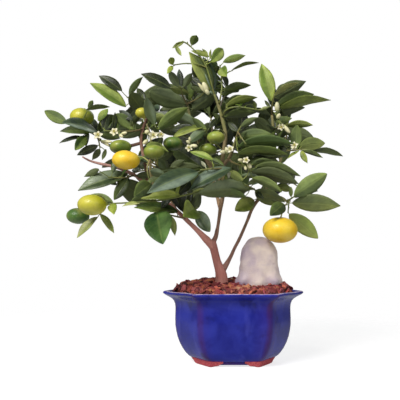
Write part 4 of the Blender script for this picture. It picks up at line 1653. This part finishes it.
def add_chip(build, centre, normal, long, wide, thick, tint):
    aim = normal.orthogonal().normalized()
    aim = Matrix.Rotation(chance.uniform(0, 6.28), 3, normal) @ aim
    aim = (aim + normal * chance.uniform(-0.35, 0.45)).normalized()
    side = aim.cross(normal).normalized()
    side = Matrix.Rotation(chance.gauss(0, 0.45), 3, aim) @ side
    up = side.cross(aim).normalized()
    verts = []
    for x, w in ((-0.5, 0.55), (-0.22, 1.0), (0.18, 0.95), (0.5, 0.5)):
        for y, z in ((-0.5, -0.4), (0.5, -0.4), (0.5, 0.4), (-0.5, 0.4)):
            jitter = Vector((chance.uniform(-1, 1) * 0.11 * long, chance.uniform(-1, 1) * 0.13 * wide, chance.uniform(-1, 1) * 0.18 * thick))
            verts.append(centre + aim * (x * long + jitter.x) + side * (y * wide * w + jitter.y) + up * (z * thick * (0.6 + 0.4 * w) + jitter.z))
    faces = [(3, 2, 1, 0), (12, 13, 14, 15)]
    for i in range(3):
        for k in range(4):
            m = (k + 1) % 4
            faces.append((i * 4 + k, i * 4 + m, (i + 1) * 4 + m, (i + 1) * 4 + k))
    middle = sum(verts, Vector()) / len(verts)
    volume = sum((verts[f[0]] - middle).dot((verts[f[j]] - middle).cross(verts[f[j + 1]] - middle)) for f in faces for j in (1, 2))
    if volume < 0:
        faces = [tuple(reversed(f)) for f in faces]
    build.add(verts, faces, tint, (0.0, 0.0, 1.0), flat=True)


stem_at = at(221.8, 283, 0)
made = 0
while made < 760:
    share, angle = math.sqrt(chance.uniform(0.0, 1.0)), chance.uniform(0, 2 * math.pi)
    p, normal = mound_point(share, angle)
    if math.hypot(p.x - stem_at.x, p.y - stem_at.y) < 0.0085:
        continue
    if abs(p.x - foot.x) < 0.025 and abs(p.y - foot.y) < 0.011:
        continue
    long = chance.choice((0.0045, 0.006, 0.0075, 0.0095)) * chance.uniform(0.8, 1.2)
    wide, thick = long * chance.uniform(0.45, 0.85), chance.uniform(0.0014, 0.0032)
    c = chance.choices(CHIP_TINTS, WEIGHTS)[0]
    c = tuple(x * chance.uniform(0.85, 1.12) for x in c)
    add_chip(build, p + normal * chance.uniform(-0.0004, 0.0009), (normal + Vector((chance.gauss(0, 0.18), chance.gauss(0, 0.18), 0))).normalized(), long, wide, thick, c)
    made += 1
build.piece("bark_chips", CHIP, node="bark_dressing")

# ================================================================ floor, light and camera
floor_mesh = bpy.data.meshes.new("floor")
reach = 9.0
floor_mesh.from_pydata([(math.cos(a) * reach, math.sin(a) * reach, 0.0) for a in (2 * math.pi * k / 64 for k in range(64))], [], [tuple(range(64))])
floor = bpy.data.objects.new("floor", floor_mesh)
bpy.context.scene.collection.objects.link(floor)
m = Shader("floor_pale")
speck = m.noise(m.place, 6.0, 2.0)
length = m.node("ShaderNodeVectorMath", operation="LENGTH")
m.link(m.place, length.inputs[0])
distance = length.outputs["Value"]
floor_mesh.materials.append(m.finish(Base_Color=m.mix(speck, (0.40, 0.40, 0.40), (0.42, 0.42, 0.42)), Roughness=0.9, Emission_Color=(1.0, 1.0, 1.0), Emission_Strength=m.math("ADD", m.math("MULTIPLY", m.node("ShaderNodeLightPath").outputs["Is Camera Ray"], 0.50), 0.24), Specular_IOR_Level=0.1,
                                   Alpha=m.ramp(distance, 0.22, 0.70, 1.0, 0.0)))

world = bpy.data.worlds.new("studio")
bpy.context.scene.world = world
world.use_nodes = True
tree = world.node_tree
tree.nodes.clear()
out = tree.nodes.new("ShaderNodeOutputWorld")
mixer = tree.nodes.new("ShaderNodeMixShader")
seen_by = tree.nodes.new("ShaderNodeLightPath")
soft, white = tree.nodes.new("ShaderNodeBackground"), tree.nodes.new("ShaderNodeBackground")
soft.inputs[0].default_value, soft.inputs[1].default_value = (0.96, 0.98, 1.0, 1.0), 0.24
white.inputs[0].default_value, white.inputs[1].default_value = (1.0, 1.0, 1.0, 1.0), 1.0
tree.links.new(seen_by.outputs["Is Camera Ray"], mixer.inputs[0])
tree.links.new(soft.outputs[0], mixer.inputs[1])
tree.links.new(white.outputs[0], mixer.inputs[2])
tree.links.new(mixer.outputs[0], out.inputs[0])


def soft_box(name, place, aim, size, power, colour=(1.0, 1.0, 1.0)):
    data = bpy.data.lights.new(name, "AREA")
    data.shape, data.size, data.size_y = "RECTANGLE", size[0], size[1]
    data.energy, data.color = power, colour
    obj = bpy.data.objects.new(name, data)
    obj.location = place
    obj.rotation_euler = (Vector(aim) - Vector(place)).to_track_quat("-Z", "Y").to_euler()
    bpy.context.scene.collection.objects.link(obj)


soft_box("key", (-0.85, -1.25, 1.35), (0.0, 0.0, 0.20), (0.9, 0.9), 41.0, (1.0, 0.985, 0.96))
soft_box("fill", (1.25, -1.20, 0.75), (0.0, 0.0, 0.18), (1.3, 1.3), 6.5, (0.97, 0.98, 1.0))
soft_box("back", (0.3, 1.30, 1.40), (0.0, 0.0, 0.20), (1.4, 1.2), 4.5)

camera_data = bpy.data.cameras.new("camera")
camera_data.sensor_fit = "HORIZONTAL"
camera_data.angle = 2 * math.atan(200 / FOCAL)
camera = bpy.data.objects.new("camera", camera_data)
camera.location = EYE + MOVE
camera.rotation_euler = (math.radians(90) + TILT, 0.0, 0.0)
bpy.context.scene.collection.objects.link(camera)
bpy.context.scene.camera = camera
bpy.context.scene.view_settings.view_transform = "Standard"
bpy.context.view_layer.update()
